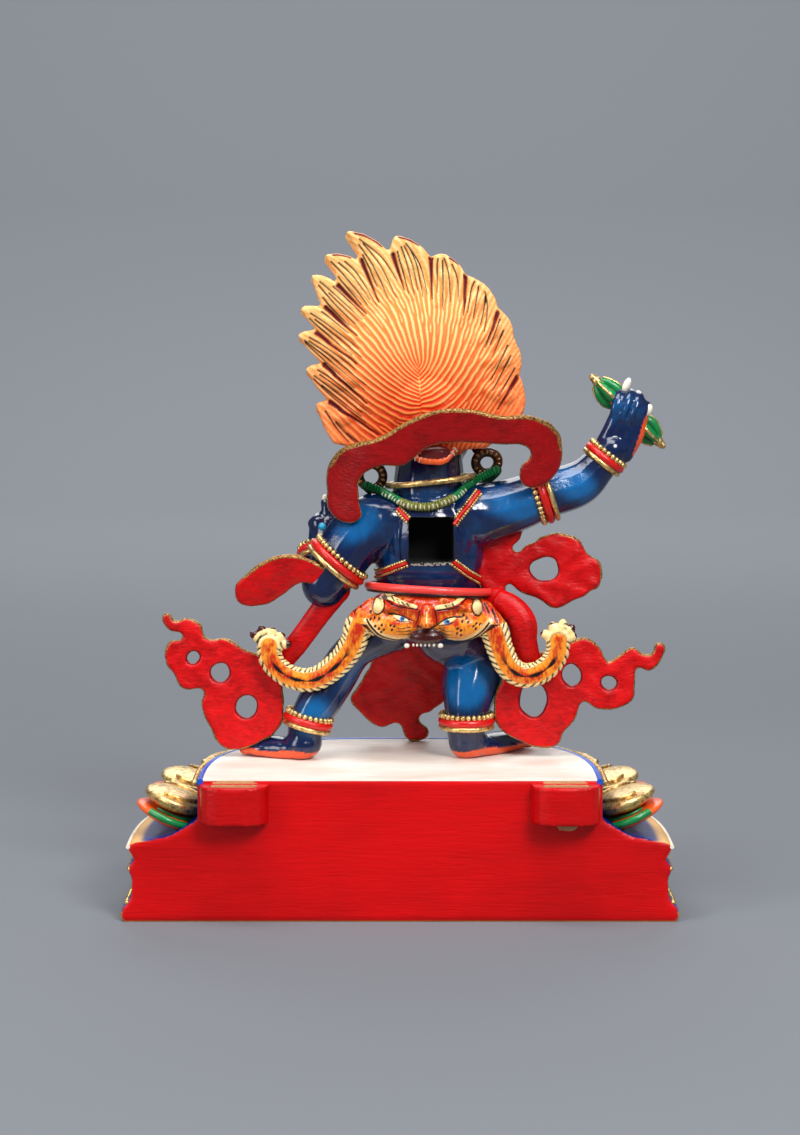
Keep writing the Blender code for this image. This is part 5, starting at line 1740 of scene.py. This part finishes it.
def petal(length, width, thickness, body, edge, tip):
    """A swollen petal along +X: its body, a curled edge line and a ball at the raised tip."""
    deselect()
    turn = (0, math.pi / 2, 0)
    bpy.ops.mesh.primitive_uv_sphere_add(segments=24, ring_count=16, radius=1, rotation=turn)
    pod = apply_place(bpy.context.object)
    for vertex in pod.data.vertices:
        towards_tip = max(0.0, vertex.co.x)
        vertex.co.y *= 1 - 0.3 * towards_tip
        vertex.co.z += 0.3 * towards_tip**4
    pod.scale = (length / 2 * MM, width / 2 * MM, thickness / 2 * MM)
    forms = [tinted(apply_place(pod), body)]
    for inset, lift, radius, tone in ((0.96, 0.10, 1.2, edge), (0.70, 0.62, 0.6, tip)):
        line = []
        for k in range(17):
            angle = math.radians(-125 + 250 * k / 16)
            ahead = max(0.0, math.cos(angle))
            x = math.cos(angle) * length / 2 * inset
            y = math.sin(angle) * width / 2 * inset * (1 - 0.3 * ahead)
            z = thickness / 2 * (lift + 0.3 * ahead**4 + 0.2)
            line.append((x, y, z - sole_height))
        forms.append(tinted(limb(line, [radius] * len(line), sides=2, steps=2), tone))
    point = (length / 2, 0, thickness * 0.3 - sole_height)
    forms.append(tinted(ball(point, (1.6, 1.6, 1.6), segments=12), tip))
    return join("petal", forms)


# %% A row of petals
def petal_row(name, count, shape, outset, height, tilt):
    """Copies of a petal round the front, turned outward and tipped down by tilt."""
    spots, directions, _ = stations(outset, count)
    tipped = Matrix.Rotation(math.radians(tilt), 3, "Y")
    copies = []
    for place, along in zip(spots, directions):
        copy = shape.copy()
        copy.data = shape.data.copy()
        bpy.context.scene.collection.objects.link(copy)
        turned = Matrix.Rotation(math.atan2(-along[0], along[1]), 3, "Z")
        copy.rotation_euler = (turned @ tipped).to_euler()
        copy.location = (place[0] * MM, place[1] * MM, height * MM)
        copies.append(apply_place(copy))
    bpy.data.objects.remove(shape)
    return shade_smooth(join(name, copies), 60)


GOLD_COUNT, LEAF_COUNT = 9, 10
gold_width = 0.95 * stations(0.29 * FLARE, GOLD_COUNT)[2]
gold_petal = petal(0.9 * FLARE, gold_width, 6.4, GOLD, GOLD, GOLD)
gold_petals = petal_row("gold_petals", GOLD_COUNT, gold_petal, 0.29 * FLARE, 0.80 * PLATFORM, 20.0)
dress(gold_petals, ENAMEL)
leaf_width = 0.95 * stations(0.36 * FLARE, LEAF_COUNT)[2]
leaf_petal = petal(0.98 * FLARE, leaf_width, 5.0, ORANGE, GREEN, GREEN)
leaf_petals = petal_row("leaf_petals", LEAF_COUNT, leaf_petal, 0.37 * FLARE, 0.69 * PLATFORM, 24.0)
dress(leaf_petals, ENAMEL)

# %% Rim of the platform and beads of the mouldings
trim = [
    tinted(limb(plan_path(-1.0, PLATFORM - 0.75, 60), [1.1] * 61, sides=2, steps=2), BLUE),
    bead_row(plan_path(0.7, PLATFORM - 0.9), 1.35, (0.85, 1.0, 1.0), GOLD),
    bead_row(plan_path(0.92 * FLARE, 0.12 * PLATFORM + 0.6), 2.6, (1.1, 0.9, 0.9), GOLD),
    bead_row(plan_path(0.88 * FLARE, 0.37 * PLATFORM), 2.6, (1.1, 0.9, 0.9), GOLD),
    tinted(limb(plan_path(0.895 * FLARE, 0.53 * PLATFORM, 60), [0.7] * 61, sides=2, steps=2), CREAM),
]
dress(shade_smooth(join("throne_trim", trim), 60), ENAMEL)

# %% [markdown]
# ## Floor, light and camera

# %% Stage
def backdrop():
    """A seamless pale floor that sweeps up into a wall beyond the statuette."""
    deselect()
    bpy.ops.mesh.primitive_plane_add(size=1)
    sheet = bpy.context.object
    sheet.name = "backdrop"
    sheet.scale = (6, 4.4, 1)
    sheet.location = (0, 0.4, 0)
    apply_place(sheet)
    bpy.ops.object.mode_set(mode="EDIT")
    bpy.ops.mesh.select_mode(type="EDGE")
    bpy.ops.mesh.select_all(action="DESELECT")
    bpy.ops.object.mode_set(mode="OBJECT")
    for edge in sheet.data.edges:
        ends = [sheet.data.vertices[k].co.y for k in edge.vertices]
        edge.select = max(ends) < -1.5
    bpy.ops.object.mode_set(mode="EDIT")
    bpy.ops.mesh.extrude_region_move(TRANSFORM_OT_translate={"value": (0, 0, 2.5)})
    bpy.ops.object.mode_set(mode="OBJECT")
    apply_modifier(sheet, "BEVEL", width=0.6, segments=16, limit_method="ANGLE")
    shade_smooth(sheet, 60)
    paint = Paint("backdrop_grey")
    sheet.data.materials.append(paint.finish(colour(114, 117, 122), 0.85, specular=0.2))


backdrop()


# %% Lights and camera
def softbox(name, place, target, size, power):
    light = bpy.data.lights.new(name, "AREA")
    light.shape = "RECTANGLE"
    light.size, light.size_y = size
    light.energy = power
    lamp = bpy.data.objects.new(name, light)
    bpy.context.scene.collection.objects.link(lamp)
    lamp.location = place
    lamp.rotation_euler = (Vector(target) - Vector(place)).to_track_quat("-Z", "Y").to_euler()


softbox("key", (-0.55, 1.0, 1.0), (0, 0, 0.1), (0.45, 0.45), 15)
softbox("fill", (1.1, 0.9, 0.6), (0, 0, 0.1), (0.5, 0.8), 8)
softbox("top", (0.1, 0.3, 1.25), (0, 0, 0.1), (1.0, 0.6), 13)
softbox("rim", (0.0, -1.2, 0.9), (0, 0, 0.1), (1.2, 0.8), 8)
softbox("wall", (0.0, -1.0, 0.95), (0, -1.8, 0.4), (2.0, 0.4), 14)
world = bpy.data.worlds.new("studio")
bpy.context.scene.world = world
world.use_nodes = True
world.node_tree.nodes["Background"].inputs[0].default_value = (0.8, 0.85, 0.95, 1)
world.node_tree.nodes["Background"].inputs[1].default_value = 0.28

CAMERA_DISTANCE = 1027.2
CAMERA_HEIGHT = 233.1
LOOK_DOWN = 7.0
camera_data = bpy.data.cameras.new("camera")
camera_data.lens = 100
camera_data.sensor_width = 36
camera = bpy.data.objects.new("camera", camera_data)
bpy.context.scene.collection.objects.link(camera)
camera.location = (0, CAMERA_DISTANCE * MM, CAMERA_HEIGHT * MM)
camera.rotation_euler = (math.radians(90 - LOOK_DOWN), 0, math.pi)
bpy.context.scene.camera = camera
print("camera at", tuple(camera.location))
bpy.context.scene.view_settings.view_transform = "Standard"
